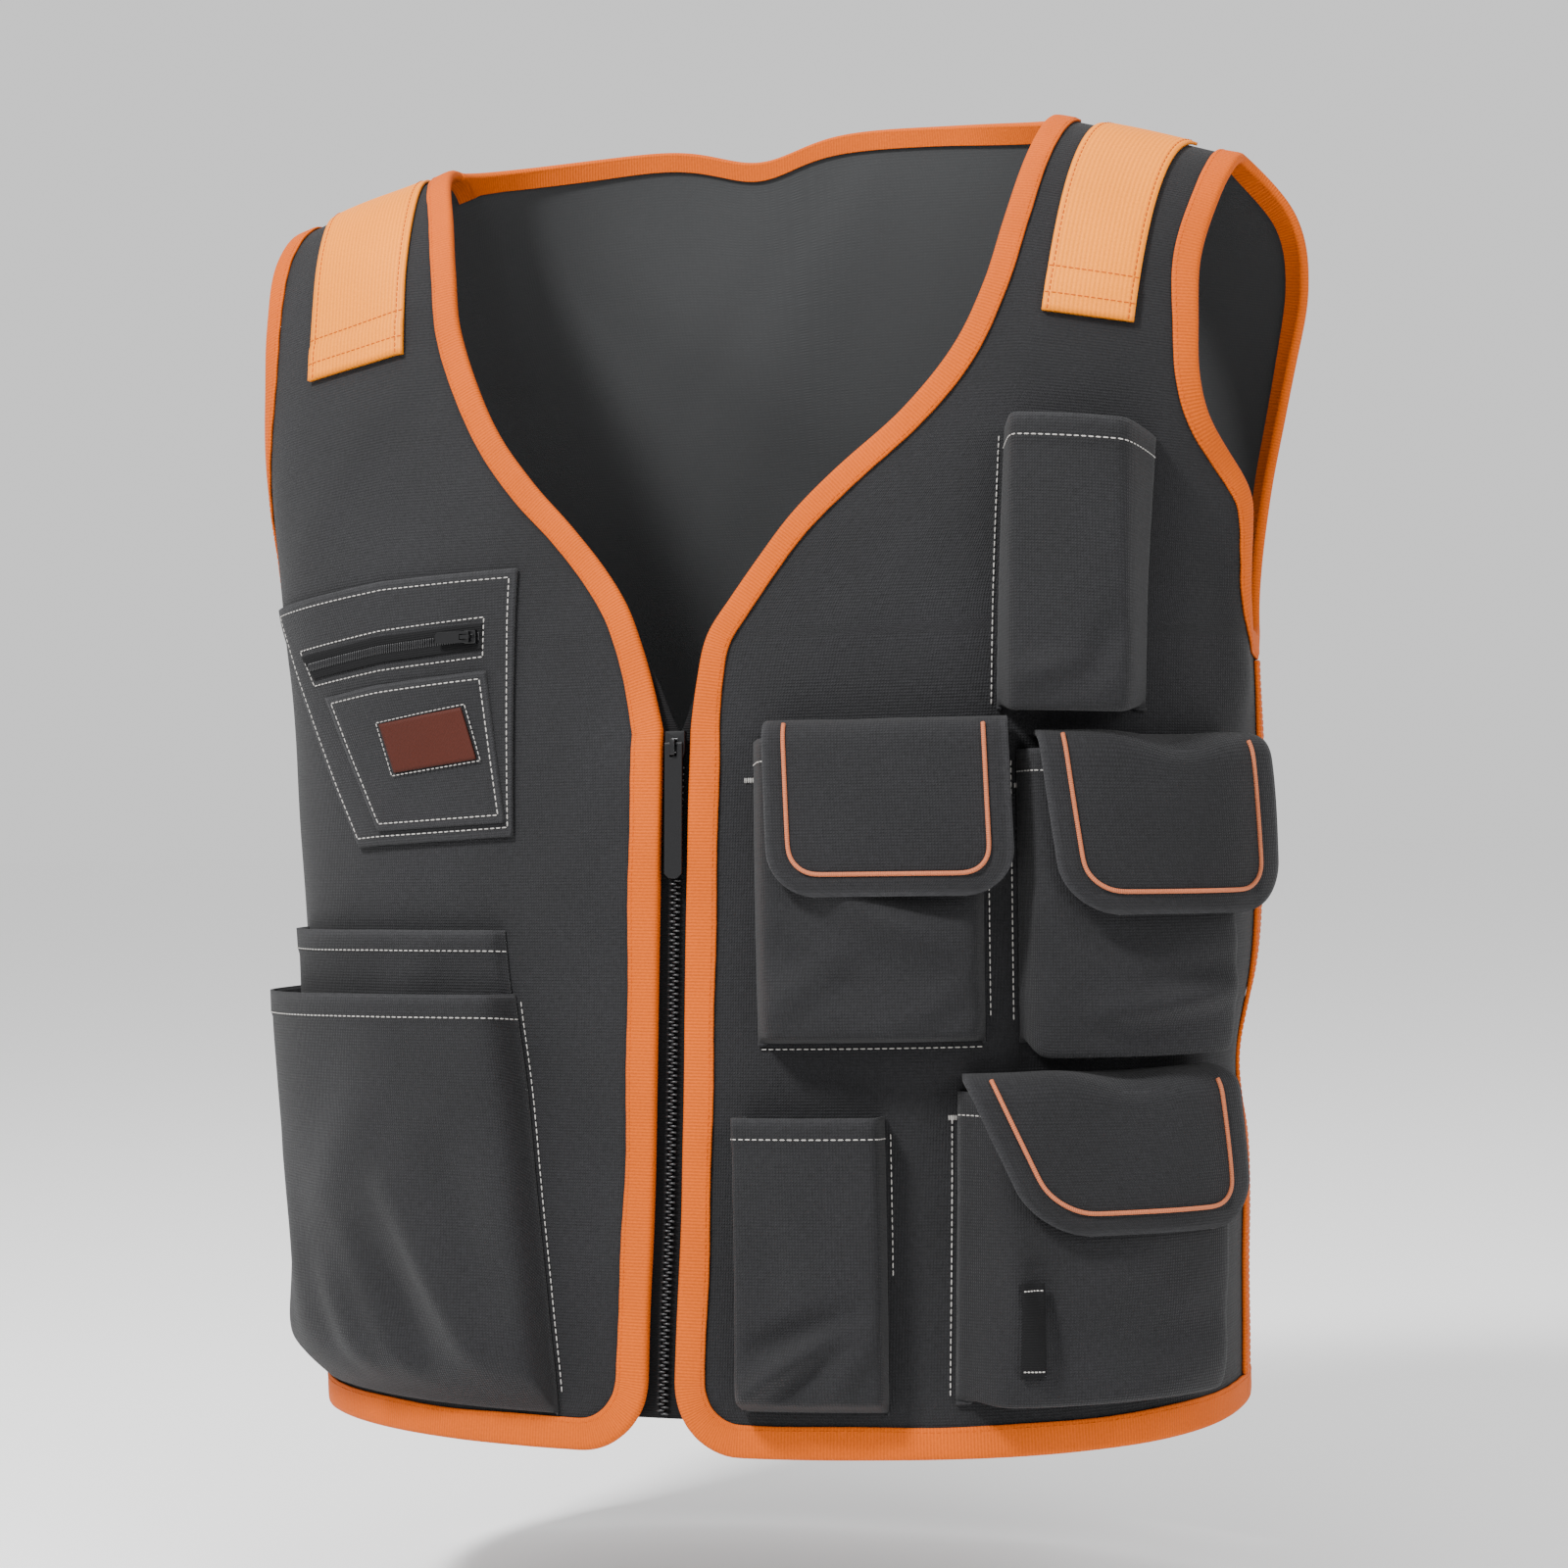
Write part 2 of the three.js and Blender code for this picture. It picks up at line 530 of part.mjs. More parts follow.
neckColumns[0] = endShift(neckColumns[0], neckColumns[1]);
neckColumns[BACK_NECK_COLUMNS] = endShift(neckColumns[BACK_NECK_COLUMNS], neckColumns[BACK_NECK_COLUMNS - 1]);
const backNeck = neckColumns.map((place, j) => ({
  place,
  inside: backGrid[lastRow - 2][BACK_SHOULDER_COLUMNS + j],
}));
add('back_neck_binding', bindEdge(backNeck, CURVED_BINDING), BINDING);

// Strip of cloth over the shell between two edges given as distances along the cloth
function strip(heights, edges, out, thickness, columns) {
  const grid = (level) => heights.map((height) => {
    const [from, to] = edges(height);
    return Array.from({ length: columns + 1 }, (_, j) => onCloth(mix(from, to, j / columns), height, level));
  });
  return shell(grid(out + thickness), grid(out));
}

// Side seam tapes, between the hem binding and the armhole binding
const SEAM_TAPE_WIDTH = 12;
const seamGirth = (t) => {
  let low = 0;
  let high = 400;
  for (let k = 0; k < 40; k += 1) {
    const middle = (low + high) / 2;
    if (angleAtGirth(middle, t) < SIDE_SEAM_ANGLE) low = middle;
    else high = middle;
  }
  return low;
};
const OVER_PANEL = CLOTH + LAYER_GAP + FACET_ALLOWANCE;
const seamClear = BINDING_WIDTH + LAYER_GAP + FACET_ALLOWANCE;
const seamTop = ARMHOLE_BOTTOM - seamClear - 1;
const rowHeights = LOWER.map((t) => t * HEIGHT).filter((h) => h > seamClear + 5 && h < seamTop - 5);
const seamHeights = [seamClear, ...rowHeights, seamTop];
for (const side of SIDES) {
  const edges = (height) => {
    const middle = side.sign * seamGirth(height / HEIGHT);
    return [middle - SEAM_TAPE_WIDTH / 2, middle + SEAM_TAPE_WIDTH / 2];
  };
  add(`side_seam_tape_${side.name}`, strip(seamHeights, edges, OVER_PANEL, TAPE, 2), BINDING);
}

// Front zip: two tapes behind the bound edges, a row of teeth, the slider and its hinged pull
const ZIP_TAPE_REACH = 15;
const ZIP_TAIL = 38;
const ZIP_TAPE_DEPTH = -(INNER_GAP + TAPE + LAYER_GAP + TAPE);
const TEETH_HALF_WIDTH = 3;
const TEETH_HEIGHT = 1.8;
const SLIDER_NARROWING = 0.32;
const SLIDER = {
  width: 9, height: 14, depth: 3, bridge: 2.4, bridgeWidth: 2.2, bridgeHeight: 7, wall: 1,
};
const PULL = { width: 8, length: 58, thickness: 1.2, corner: 2, bar: 0.7 };
const zipLine = (height) => -ZIP_LEAN * (1 - Math.min(height / ZIP_TOP, 1));
const zipHeights = [CORNER_RADIUS * 0.45, ...spread(CORNER_RADIUS, ZIP_TOP, 8)];
const tailHeights = spread(ZIP_TOP, ZIP_TOP + ZIP_TAIL, 4).slice(1);
for (const side of SIDES) {
  const edges = (height) => {
    const middle = zipLine(height);
    if (height <= ZIP_TOP) return [middle + side.sign * SEAM_HALF_GAP, middle + side.sign * ZIP_TAPE_REACH];
    const t = height / HEIGHT;
    const edge = surface(innerAngle(side, t), t).x;
    const left = 1 - (height - ZIP_TOP) / ZIP_TAIL;
    const reach = ZIP_TAPE_REACH - CLOSURE_HALF_GAP;
    return [side.sign * (edge - CLOSURE_HALF_GAP * left), side.sign * (edge + reach)];
  };
  const heights = [...zipHeights, ...tailHeights];
  add(`zip_tape_${side.name}`, strip(heights, edges, ZIP_TAPE_DEPTH, TAPE, 2), TAPE_BLACK);
}
const teethBase = ZIP_TAPE_DEPTH + TAPE + LAYER_GAP;
const teethEdges = (height) => [zipLine(height) - TEETH_HALF_WIDTH, zipLine(height) + TEETH_HALF_WIDTH];
add('zip_teeth', strip(zipHeights, teethEdges, teethBase, TEETH_HEIGHT, 1), ZIP_BLACK);

// Plate in the XZ plane with an outline, centred on Y
function plate(outline, thickness) {
  const shape = new THREE.Shape(outline.map(([x, z]) => new THREE.Vector2(x, z)));
  const geometry = new THREE.ExtrudeGeometry(shape, { depth: thickness, bevelEnabled: false });
  geometry.translate(0, 0, -thickness / 2);
  geometry.rotateX(Math.PI / 2);
  return geometry;
}

// Slider with a bridge: the outline seen from the side, extruded across, joined to the body's plate
function sliderSolid(size) {
  const half = size.height / 2;
  const taper = size.width * SLIDER_NARROWING;
  const body = plate([
    [-taper, -half], [taper, -half], [size.width / 2, -half * 0.3],
    [size.width / 2, half], [-size.width / 2, half], [-size.width / 2, -half * 0.3],
  ], size.depth);
  const foot = size.bridgeHeight / 2;
  const front = size.depth / 2;
  const top = front + size.bridge + size.wall;
  const sunk = front - size.wall;
  const arch = new THREE.Shape([
    [-foot, sunk], [-foot, top], [foot, top], [foot, sunk], [foot - size.wall, sunk],
    [foot - size.wall, top - size.wall], [-foot + size.wall, top - size.wall], [-foot + size.wall, sunk],
  ].map(([z, y]) => new THREE.Vector2(z, y)));
  const bridge = new THREE.ExtrudeGeometry(arch, { depth: size.bridgeWidth, bevelEnabled: false });
  bridge.translate(0, 0, -size.bridgeWidth / 2);
  bridge.applyMatrix4(new THREE.Matrix4().makeBasis(
    new THREE.Vector3(0, 0, 1), new THREE.Vector3(0, -1, 0), new THREE.Vector3(1, 0, 0)));
  return join(body, bridge);
}

// Pull: a tab forked round the slider's bridge, with a round bar across the fork's top to hang from
const BAR_SIDES = 16;
const pullBarDrop = (slider, pull) => slider.bridgeHeight / 2 - slider.wall - LAYER_GAP - pull.thickness / 2;
function pullSolid(size, slider) {
  const half = size.width / 2;
  const arm = slider.bridgeWidth / 2 + LAYER_GAP;
  const legFoot = slider.bridgeHeight / 2 + pullBarDrop(slider, size);
  const foot = -Math.hypot(legFoot, slider.bridge / 2 + slider.wall) - LAYER_GAP;
  const tab = plate([
    [-half, 0], [-half, -size.length + size.corner], [-half + size.corner, -size.length],
    [half - size.corner, -size.length], [half, -size.length + size.corner], [half, 0],
    [arm, 0], [arm, foot], [-arm, foot], [-arm, 0],
  ], size.thickness);
  const bar = new THREE.CylinderGeometry(size.bar, size.bar, size.width, BAR_SIDES);
  bar.rotateZ(Math.PI / 2);
  return join(tab, bar);
}

// Boolean join and plain lists of merged corners
function asManifold(geometry) {
  const plain = new THREE.BufferGeometry();
  plain.setAttribute('position', geometry.attributes.position);
  plain.setIndex(geometry.index);
  const merged = mergeVertices(plain, 1e-4);
  return new wasm.Manifold(new wasm.Mesh({
    numProp: 3,
    vertProperties: new Float32Array(merged.attributes.position.array),
    triVerts: new Uint32Array(merged.index.array),
  }));
}

function join(a, b) {
  const mesh = asManifold(a).add(asManifold(b)).getMesh();
  const geometry = new THREE.BufferGeometry();
  geometry.setAttribute('position', new THREE.Float32BufferAttribute(mesh.vertProperties, 3));
  geometry.setIndex(Array.from(mesh.triVerts));
  geometry.computeVertexNormals();
  return geometry;
}

// Frame of a zip's slider on the cloth: its centre, with the pull's way, outwards and across
function sliderFrame(middle, way, outward) {
  const up = way.clone().negate().normalize();
  const across = up.clone().cross(outward).normalize();
  const matrix = new THREE.Matrix4().makeBasis(across, outward.clone().negate(), up);
  matrix.setPosition(middle);
  return matrix;
}

// Places the slider and its pull on a zip; the pull's bar lies under the bridge
const SLIDER_LIFT = 0.4;
function addZipSlider(name, slider, pull, matrix) {
  const body = sliderSolid(slider);
  body.applyMatrix4(matrix);
  add(`${name}_slider`, body, ZIP_BLACK);
  const tab = pullSolid(pull, slider);
  const barOut = slider.depth / 2 + slider.bridge / 2;
  tab.translate(0, -barOut, pullBarDrop(slider, pull));
  tab.applyMatrix4(matrix);
  add(`${name}_pull`, tab, ZIP_BLACK);
}

const sliderHeight = ZIP_TOP - SLIDER.height / 2;
const sliderOut = teethBase + TEETH_HEIGHT + SLIDER_LIFT + SLIDER.depth / 2;
const sliderSeat = onCloth(zipLine(sliderHeight), sliderHeight, sliderOut);
const zipTop = onCloth(0, sliderHeight, 0);
const zipDown = onCloth(0, sliderHeight - PULL.length, 0).sub(zipTop).setX(0).normalize();
const zipOut = new THREE.Vector3(1, 0, 0).cross(zipDown).negate().normalize();
if (zipOut.y > 0) zipOut.negate();
addZipSlider('zip', SLIDER, PULL, sliderFrame(sliderSeat, zipDown, zipOut));

// Flat patch between four corners, each given along the cloth and up, on the wearer's right or left
function patch(sign, corners, out, thickness, columns, rows) {
  const [lowInner, lowOuter, topInner, topOuter] = corners;
  const grid = (level) => spread(0, 1, rows).map((up) => spread(0, 1, columns).map((across) => {
    const place = [0, 1].map((k) => mix(
      mix(lowInner[k], lowOuter[k], across),
      mix(topInner[k], topOuter[k], across), up));
    return onPattern(sign * place[0], place[1], level);
  }));
  return shell(grid(out + thickness), grid(out));
}

// Chest patch pocket on the wearer's right, its zip, the tool pocket over it and a bare label
const patchOut = OVER_PANEL + SEAM_HALF_GAP;
const toolOut = patchOut + POCKET_CLOTH + LAYER_GAP;
const labelOut = toolOut + POCKET_CLOTH + LAYER_GAP;
const CHEST_PATCH = [[78, 262], [165, 258], [78, 380], [234, 375]];
const TOOL_PATCH = [[81, 268], [150, 265], [91, 335], [185, 328]];
const LABEL_PATCH = [[94, 296], [138, 291], [102, 319], [147, 313]];
const CHEST_ZIP_PATCH = [[93, 346], [192, 339], [93, 355], [203, 348]];
add('chest_patch_pocket', patch(-1, CHEST_PATCH, patchOut, POCKET_CLOTH, 12, 4), CANVAS);
add('tool_pocket', patch(-1, TOOL_PATCH, toolOut, POCKET_CLOTH, 8, 3), CANVAS);
add('label', patch(-1, LABEL_PATCH, labelOut, TAPE, 4, 1), LABEL);
add('chest_zip_tape', patch(-1, CHEST_ZIP_PATCH, toolOut, TAPE, 8, 1), TAPE_BLACK);

// Pockets that stand out from the shell, sewn to it along both sides and the bottom
const POCKETS = [
  {
    name: 'lower_inner_pocket', side: 'right', bottom: 18, top: 221, base: [82, 226], face: [85, 222],
    depth: [5, 5], lowShift: [-22, -2], rise: 6, bulge: 1,
  },
  {
    name: 'lower_outer_pocket', side: 'right', bottom: 13.5, top: 193, base: [77, 236], face: [80, 231],
    depth: [17, 17], lowShift: [-23, -2], rise: 17, bulge: 4,
  },
  {
    name: 'phone_pocket', side: 'left', bottom: 312, top: 431, base: [142, 206], face: [147, 190],
    depth: [20, 31], lowShift: [-2, -3], rise: -3, bulge: 1,
  },
  {
    name: 'flap_pocket_inner', side: 'left', bottom: 172, top: 300, base: [35, 134], face: [43, 131],
    depth: [17, 17], lowShift: [2, 0], rise: 2, bulge: 3,
  },
  {
    name: 'flap_pocket_outer', side: 'left', bottom: 172, top: 294, base: [148, 246], face: [154, 238],
    depth: [18, 19], lowShift: [0, -4], rise: -9, bulge: 4,
  },
  {
    name: 'pliers_pocket', side: 'left', bottom: 18, top: 141, base: [30.5, 91.5], face: [28, 90],
    depth: [14, 14], lowShift: [3, 2], rise: 4, bulge: 2,
  },
  {
    name: 'lower_flap_pocket', side: 'left', bottom: 22, top: 151, base: [122, 238], face: [138, 230],
    depth: [22, 21], lowShift: [-1, 0], rise: -2, bulge: 3,
  },
];
const POCKET_ROWS = 3;
const FACE_STEP = 18;

function pocketWidths(spec, height) {
  const low = 1 - clamp((height - spec.bottom) / (spec.top - spec.bottom), 0, 1);
  return {
    base: spec.base.map((girth, k) => girth + spec.lowShift[k] * low),
    face: spec.face.map((girth, k) => girth + spec.lowShift[k] * low),
  };
}

// How far a pocket's face stands out over the shell at a distance along the cloth
function faceOut(spec, girth, height) {
  const { face } = pocketWidths(spec, height);
  const share = clamp((girth - face[0]) / (face[1] - face[0]), 0, 1);
  const swell = spec.bulge * 4 * share * (1 - share);
  return OVER_PANEL + POCKET_CLOTH + mix(spec.depth[0], spec.depth[1], share) + swell;
}

function pocket(spec) {
  const sign = spec.side === 'left' ? 1 : -1;
  const steps = Math.ceil((spec.face[1] - spec.face[0]) / FACE_STEP);
  const turn = [
    { base: 0, face: 0, out: 0 },
    { base: 2, face: spec.rise * 0.5, out: 0.5 },
    { base: 4, face: spec.rise, out: 0.9 },
    { base: 9, face: Math.max(spec.rise, 0) + 9, out: 1 },
  ];
  const { bottom } = spec;
  const rows = turn.map(({ base, face, out }) => ({ base: bottom + base, face: bottom + face, out }));
  const last = rows[rows.length - 1];
  for (let k = 1; k <= POCKET_ROWS; k += 1) {
    const share = k / POCKET_ROWS;
    rows.push({ base: mix(last.base, spec.top, share), face: mix(last.face, spec.top, share), out: 1 });
  }
  const grid = rows.map((row, i) => {
    const { base } = pocketWidths(spec, row.base);
    const { face } = pocketWidths(spec, row.face);
    const foot = i === 0 ? OVER_PANEL + POCKET_CLOTH : OVER_PANEL;
    const flat = OVER_PANEL + POCKET_CLOTH;
    const front = spread(face[0], face[1], steps).map((girth) => {
      const out = mix(flat, faceOut(spec, girth, row.face), row.out);
      return onPattern(sign * girth, row.face, out);
    });
    return [onPattern(sign * base[0], row.base, foot), ...front, onPattern(sign * base[1], row.base, foot)];
  });
  return thicken(grid, POCKET_CLOTH, sign < 0);
}

for (const spec of POCKETS) add(spec.name, pocket(spec), CANVAS);

// Flaps sewn above a pocket's mouth, turned over it and hanging in front of its face
const FLAP_CLOTH = 2;
const FLAP_GAP = 1;
const FLAPS = [
  {
    name: 'flap_inner', over: 'flap_pocket_inner', top: 307, bottom: 233,
    wide: [45, 144], low: [49, 146], corner: 20,
  },
  {
    name: 'flap_outer', over: 'flap_pocket_outer', top: 301, bottom: 225,
    wide: [155, 244], low: [163, 251], corner: 21,
  },
  {
    name: 'flap_lower', over: 'lower_flap_pocket', top: 158, bottom: 91,
    wide: [124, 229], low: [150, 234], corner: 20,
  },
];
const FLAP_COLUMNS = 6;
function flap(spec) {
  const under = POCKETS.find((one) => one.name === spec.over);
  const drop = spec.top - spec.bottom;
  const rows = [
    { height: spec.top, out: 0 },
    { height: spec.top + 1.5, out: 0.45 },
    { height: spec.top - 0.5, out: 0.88 },
    { height: spec.top - 7, out: 1 },
    ...[0.3, 0.5, 0.7].map((share) => ({ height: spec.top - drop * share, out: 1 })),
    ...[60, 30, 12, 0].map((a) => (
      { height: spec.bottom + spec.corner * (1 - Math.cos(a * DEGREE)), out: 1 })),
  ].filter((row, k, all) => k === 0 || row.height < all[k - 1].height - 0.5 || row.out < 1);
  const grid = rows.reverse().map((row) => {
    const low = clamp((spec.top - row.height) / drop, 0, 1);
    const into = Math.max(spec.corner - (row.height - spec.bottom), 0);
    const round = spec.corner - Math.sqrt(spec.corner ** 2 - into ** 2);
    const from = mix(spec.wide[0], spec.low[0], low) + round;
    const to = mix(spec.wide[1], spec.low[1], low) - round;
    return spread(from, to, FLAP_COLUMNS).map((girth) => {
      const hung = faceOut(under, girth, Math.min(row.height, under.top)) + FLAP_GAP + FLAP_CLOTH;
      return onPattern(girth, row.height, mix(OVER_PANEL + FLAP_CLOTH, hung, row.out));
    });
  });
  return thicken(grid, FLAP_CLOTH, false);
}
for (const spec of FLAPS) add(spec.name, flap(spec), CANVAS);

// Webbing strip for a clip, on the lower flap pocket's face
const CLIP_STRIP = { from: 144, to: 153, bottom: 33, top: 72 };
const clipUnder = POCKETS.find((one) => one.name === 'lower_flap_pocket');
const clipGrid = (out) => spread(CLIP_STRIP.bottom, CLIP_STRIP.top, 4).map((height) => (
  [CLIP_STRIP.from, CLIP_STRIP.to].map((girth) => (
    onPattern(girth, height, faceOut(clipUnder, girth, height) + out)))));
add('clip_strip', shell(clipGrid(FLAP_GAP + TAPE), clipGrid(FLAP_GAP)), TAPE_BLACK);

// Bright shoulder patches, from the shoulder seam down the front: drop is how far they reach below the crest,
// inner edges are measured from the neck's half width and outer edges from the body's half width
const SHOULDER_PATCHES = [
  { side: SIDES[0], drop: 93, lowInner: -3, lowOuter: -29, topInner: 13.5, topOuter: -15 },
  { side: SIDES[1], drop: 93, lowInner: 8, lowOuter: -32, topInner: 22, topOuter: -16 },
];
const LEAST_PATCH_ROW = 4;
for (const spec of SHOULDER_PATCHES) {
  const bottom = HEIGHT - spec.drop;
  const start = Math.sqrt(spec.drop / HEIGHT);
  const rows = [bottom / HEIGHT, ...PANEL_ROWS.filter((t) => t * HEIGHT > bottom + LEAST_PATCH_ROW)];
  const grid = (out) => rows.map((t) => {
    const share = 1 - Math.sqrt(Math.max(1 - t, 0)) / start;
    const from = NECK_HALF_WIDTH + mix(spec.lowInner, spec.topInner, share);
    const to = HALF_WIDTH + mix(spec.lowOuter, spec.topOuter, share);
    return spread(from, to, 3).map((x) => layer(spec.side.sign * angleAtWidth(x, t), t, out));
  });
  add(`shoulder_patch_${spec.side.name}`, shell(grid(OVER_PANEL + POCKET_CLOTH), grid(OVER_PANEL)), PATCH);
}

// The small zip's slider and pull, lying along the chest zip
const SMALL_SLIDER = {
  width: 6, height: 8, depth: 2.2, bridge: 2, bridgeWidth: 1.6, bridgeHeight: 5, wall: 0.8,
};
const SMALL_PULL = { width: 5, length: 17, thickness: 1, corner: 1.2, bar: 0.6 };
const SMALL_PLACE = { girth: 99, height: 350 };
const smallOut = toolOut + TAPE + SLIDER_LIFT + SMALL_SLIDER.depth / 2;
const smallSeat = onPattern(-SMALL_PLACE.girth, SMALL_PLACE.height, smallOut);
const smallEnd = onPattern(-SMALL_PLACE.girth - SMALL_PULL.length, SMALL_PLACE.height, smallOut);
const smallWay = smallEnd.sub(smallSeat).setZ(0).normalize();
const smallOutward = new THREE.Vector3(0, 0, 1).cross(smallWay).normalize();
if (smallOutward.y > 0) smallOutward.negate();
addZipSlider('chest_zip', SMALL_SLIDER, SMALL_PULL, sliderFrame(smallSeat, smallWay, smallOutward));

// The vest hangs from the nape, the middle of the back's inner face under the neck binding
const NAPE_DROP = 16;
const nape = surface(180, 1 - NAPE_DROP / HEIGHT);
worn.position.copy(nape).negate();
const vest = new THREE.Group();
vest.name = 'utility_work_vest';
vest.add(worn);

export default vest;
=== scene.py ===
"""Looks of the utility work vest: cloth, bindings, pockets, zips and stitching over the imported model."""

import math

import bmesh
import bpy
import numpy as np
from mathutils import Matrix, Vector


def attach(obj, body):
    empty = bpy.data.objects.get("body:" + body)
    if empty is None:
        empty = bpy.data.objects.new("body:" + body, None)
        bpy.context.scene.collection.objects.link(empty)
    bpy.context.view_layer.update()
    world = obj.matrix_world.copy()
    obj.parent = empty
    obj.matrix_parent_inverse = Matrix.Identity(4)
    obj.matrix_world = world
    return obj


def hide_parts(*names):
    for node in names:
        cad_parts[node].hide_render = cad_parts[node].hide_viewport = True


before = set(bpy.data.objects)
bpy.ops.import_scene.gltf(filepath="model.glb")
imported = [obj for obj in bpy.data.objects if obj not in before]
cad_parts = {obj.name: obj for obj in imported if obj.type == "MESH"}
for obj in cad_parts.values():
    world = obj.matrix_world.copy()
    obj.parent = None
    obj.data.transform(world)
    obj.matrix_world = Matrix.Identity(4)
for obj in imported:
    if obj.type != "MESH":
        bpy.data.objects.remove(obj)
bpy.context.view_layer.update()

bl_info = {
    "name": "Utility work vest",
    "version": (1, 0, 0),
    "blender": (4, 5, 0),
    "location": "View3D > Sidebar > Vest",
    "description": "Dresses the packed work vest in canvas, bound edges, pockets, zips and stitching",
    "category": "Object",
}

# Sizes of the body, in millimetres and degrees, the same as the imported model's
MM = 0.001
DEGREE = math.pi / 180
HEIGHT = 575
HALF_WIDTH = 226
FRONT_DEPTH = 116
BACK_DEPTH = 108
FORWARD_SWAY = 6.4
SHOULDER_SLOPE = 0.288
NECK_HALF_WIDTH = 148
ARMHOLE_BOTTOM = 345
BACK_FLARE = 16
BACK_NECK_DEPTH = 66
BACK_NECK_STAND = 15
SIDE_SEAM_ANGLE = 93
CREST_POWER = 6.5
DROP_POWER = 3
SECTION_POWER = 2.35
SECTION_SQUARING = 1.65
ZIP_TOP = 306
ZIP_LEAN = 7
CLOSURE_HALF_GAP = 8
CORNER_RADIUS = 29
CLOTH = 1.6
TAPE = 1
POCKET_CLOTH = 1.3
BINDING_WIDTH = 12
UPPER_BINDING_SHARE = 0.8
NECK_BINDING_SHARE = 0.64
BINDING_STEP = 2.6
OVER_PANEL = 2.45
NAPE_DROP = 16
SEAM_GAP = 0.07
CLOTH_PER_DEGREE = 3.1
FLARE_GAIN = 9.48
NECK_DIP_SHARE = 0.72
NECK_DIP_PLACE = -0.13
NECK_DIP_WIDTH = 0.2
NECK_TAPE_REACH = 1.05
NECK_TAPE_HELD = 0.93
ZIP_DEPTH = -4.3
ZIP_TAIL = 38
TOOTH_PITCH = 1.35
BEAD_SIDES = 6
EDGE_STITCH = {"pitch": 2.9, "width": 0.55}

BODY_ROWS = {
    "height": np.array([0.0, 0.2, 0.4, 0.6, 0.8, 1.0]),
    "width": np.array([0.943, 0.958, 1.0, 1.009, 1.046, 1.11]),
    "front": np.array([1.197, 1.082, 1.004, 0.916, 0.771, 0.672]),
    "back": np.array([1.211, 1.088, 1.005, 0.913, 0.765, 0.662]),
    "sway": np.array([0.0, 0.0, 0.0, 0.1, 0.4, 1.0]),
    "square": np.array([0.0, 0.0, 0.0, 0.18, 0.7, 1.0]),
}
NECKLINE = {
    "height": np.array([0, 0.08, 0.15, 0.21, 0.27, 0.34, 0.41, 0.5, 0.6, 0.7, 0.8, 0.9, 1.0]),
    "right": np.array([0, 0.045, 0.095, 0.15, 0.235, 0.36, 0.5, 0.65, 0.76, 0.84, 0.88, 0.925, 1.0]),
    "left": np.array([0, 0.02, 0.05, 0.125, 0.21, 0.32, 0.46, 0.66, 0.82, 0.905, 0.945, 0.975, 1.0]),
}
ARMHOLE = {
    "height": np.array([0, 0.018, 0.045, 0.09, 0.16, 0.26, 0.33, 0.42, 0.5, 0.61, 0.75, 0.9, 1.0]),
    "right": np.array([93, 87.5, 85.5, 84.5, 84, 83, 80.5, 75.5, 71, 66.5, 64, 61.5, 57.2]),
    "left": np.array([93, 87, 84.8, 83, 82, 80, 75.7, 65.3, 60.5, 57.6, 54.7, 55.7, 57.2]),
    "back": np.array([93, 99, 101.5, 103, 104, 105, 106, 107, 108, 109, 110, 113, 122.8]),
}
SIDES = {"right": {"sign": -1, "reach": 140}, "left": {"sign": 1, "reach": 144}}

# Soft folds of the shell: ridges and valleys along lines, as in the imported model
FOLD_SIZE = 10
FOLD_COLUMNS = ("angle", "height", "to_angle", "to_height", "width", "depth")
FOLDS = [
    (79, 0.7, 82, 0.57, 2.0, 0.5),
    (98, 0.27, 118, 0.25, 2.6, -0.9),
    (-86, 0.57, -88, 0.42, 1.8, 0.5),
    (-98, 0.3, -124, 0.36, 2.2, -0.7),
    (152, 0.84, 138, 0.4, 2.4, 0.6),
    (-152, 0.82, -140, 0.36, 2.4, 0.6),
    (178, 0.42, 176, 0.04, 3.0, -0.6),
    (122, 0.24, 126, 0.0, 2.4, 0.7),
    (-130, 0.22, -126, 0.0, 2.4, 0.7),
]

# Small creases of the cloth, as waves across space: wave vector in radians a millimetre, phase and depth
CREASES = [
    (0.021, 0.008, 0.034, 0.4, 0.55),
    (-0.038, 0.011, 0.025, 1.9, 0.4),
    (0.052, -0.02, 0.061, 2.6, 0.22),
    (0.083, 0.03, -0.047, 0.9, 0.16),
    (-0.11, 0.06, 0.09, 4.1, 0.1),
]

POCKETS = {
    "lower_inner_pocket": dict(side="right", bottom=18, top=221, base=(82, 226), face=(85, 222),
                               depth=(5, 5), low_shift=(-22, -2), rise=6, bulge=1),
    "lower_outer_pocket": dict(side="right", bottom=13.5, top=193, base=(77, 236), face=(80, 231),
                               depth=(17, 17), low_shift=(-23, -2), rise=17, bulge=4),
    "phone_pocket": dict(side="left", bottom=312, top=431, base=(142, 206), face=(147, 190),
                         depth=(20, 31), low_shift=(-2, -3), rise=-3, bulge=1),
    "flap_pocket_inner": dict(side="left", bottom=172, top=300, base=(35, 134), face=(43, 131),
                              depth=(17, 17), low_shift=(2, 0), rise=2, bulge=3),
    "flap_pocket_outer": dict(side="left", bottom=172, top=294, base=(148, 246), face=(154, 238),
                              depth=(18, 19), low_shift=(0, -4), rise=-9, bulge=4),
    "pliers_pocket": dict(side="left", bottom=18, top=141, base=(30.5, 91.5), face=(28, 90),
                          depth=(14, 14), low_shift=(3, 2), rise=4, bulge=2),
    "lower_flap_pocket": dict(side="left", bottom=22, top=151, base=(122, 238), face=(138, 230),
                              depth=(22, 21), low_shift=(-1, 0), rise=-2, bulge=3),
}

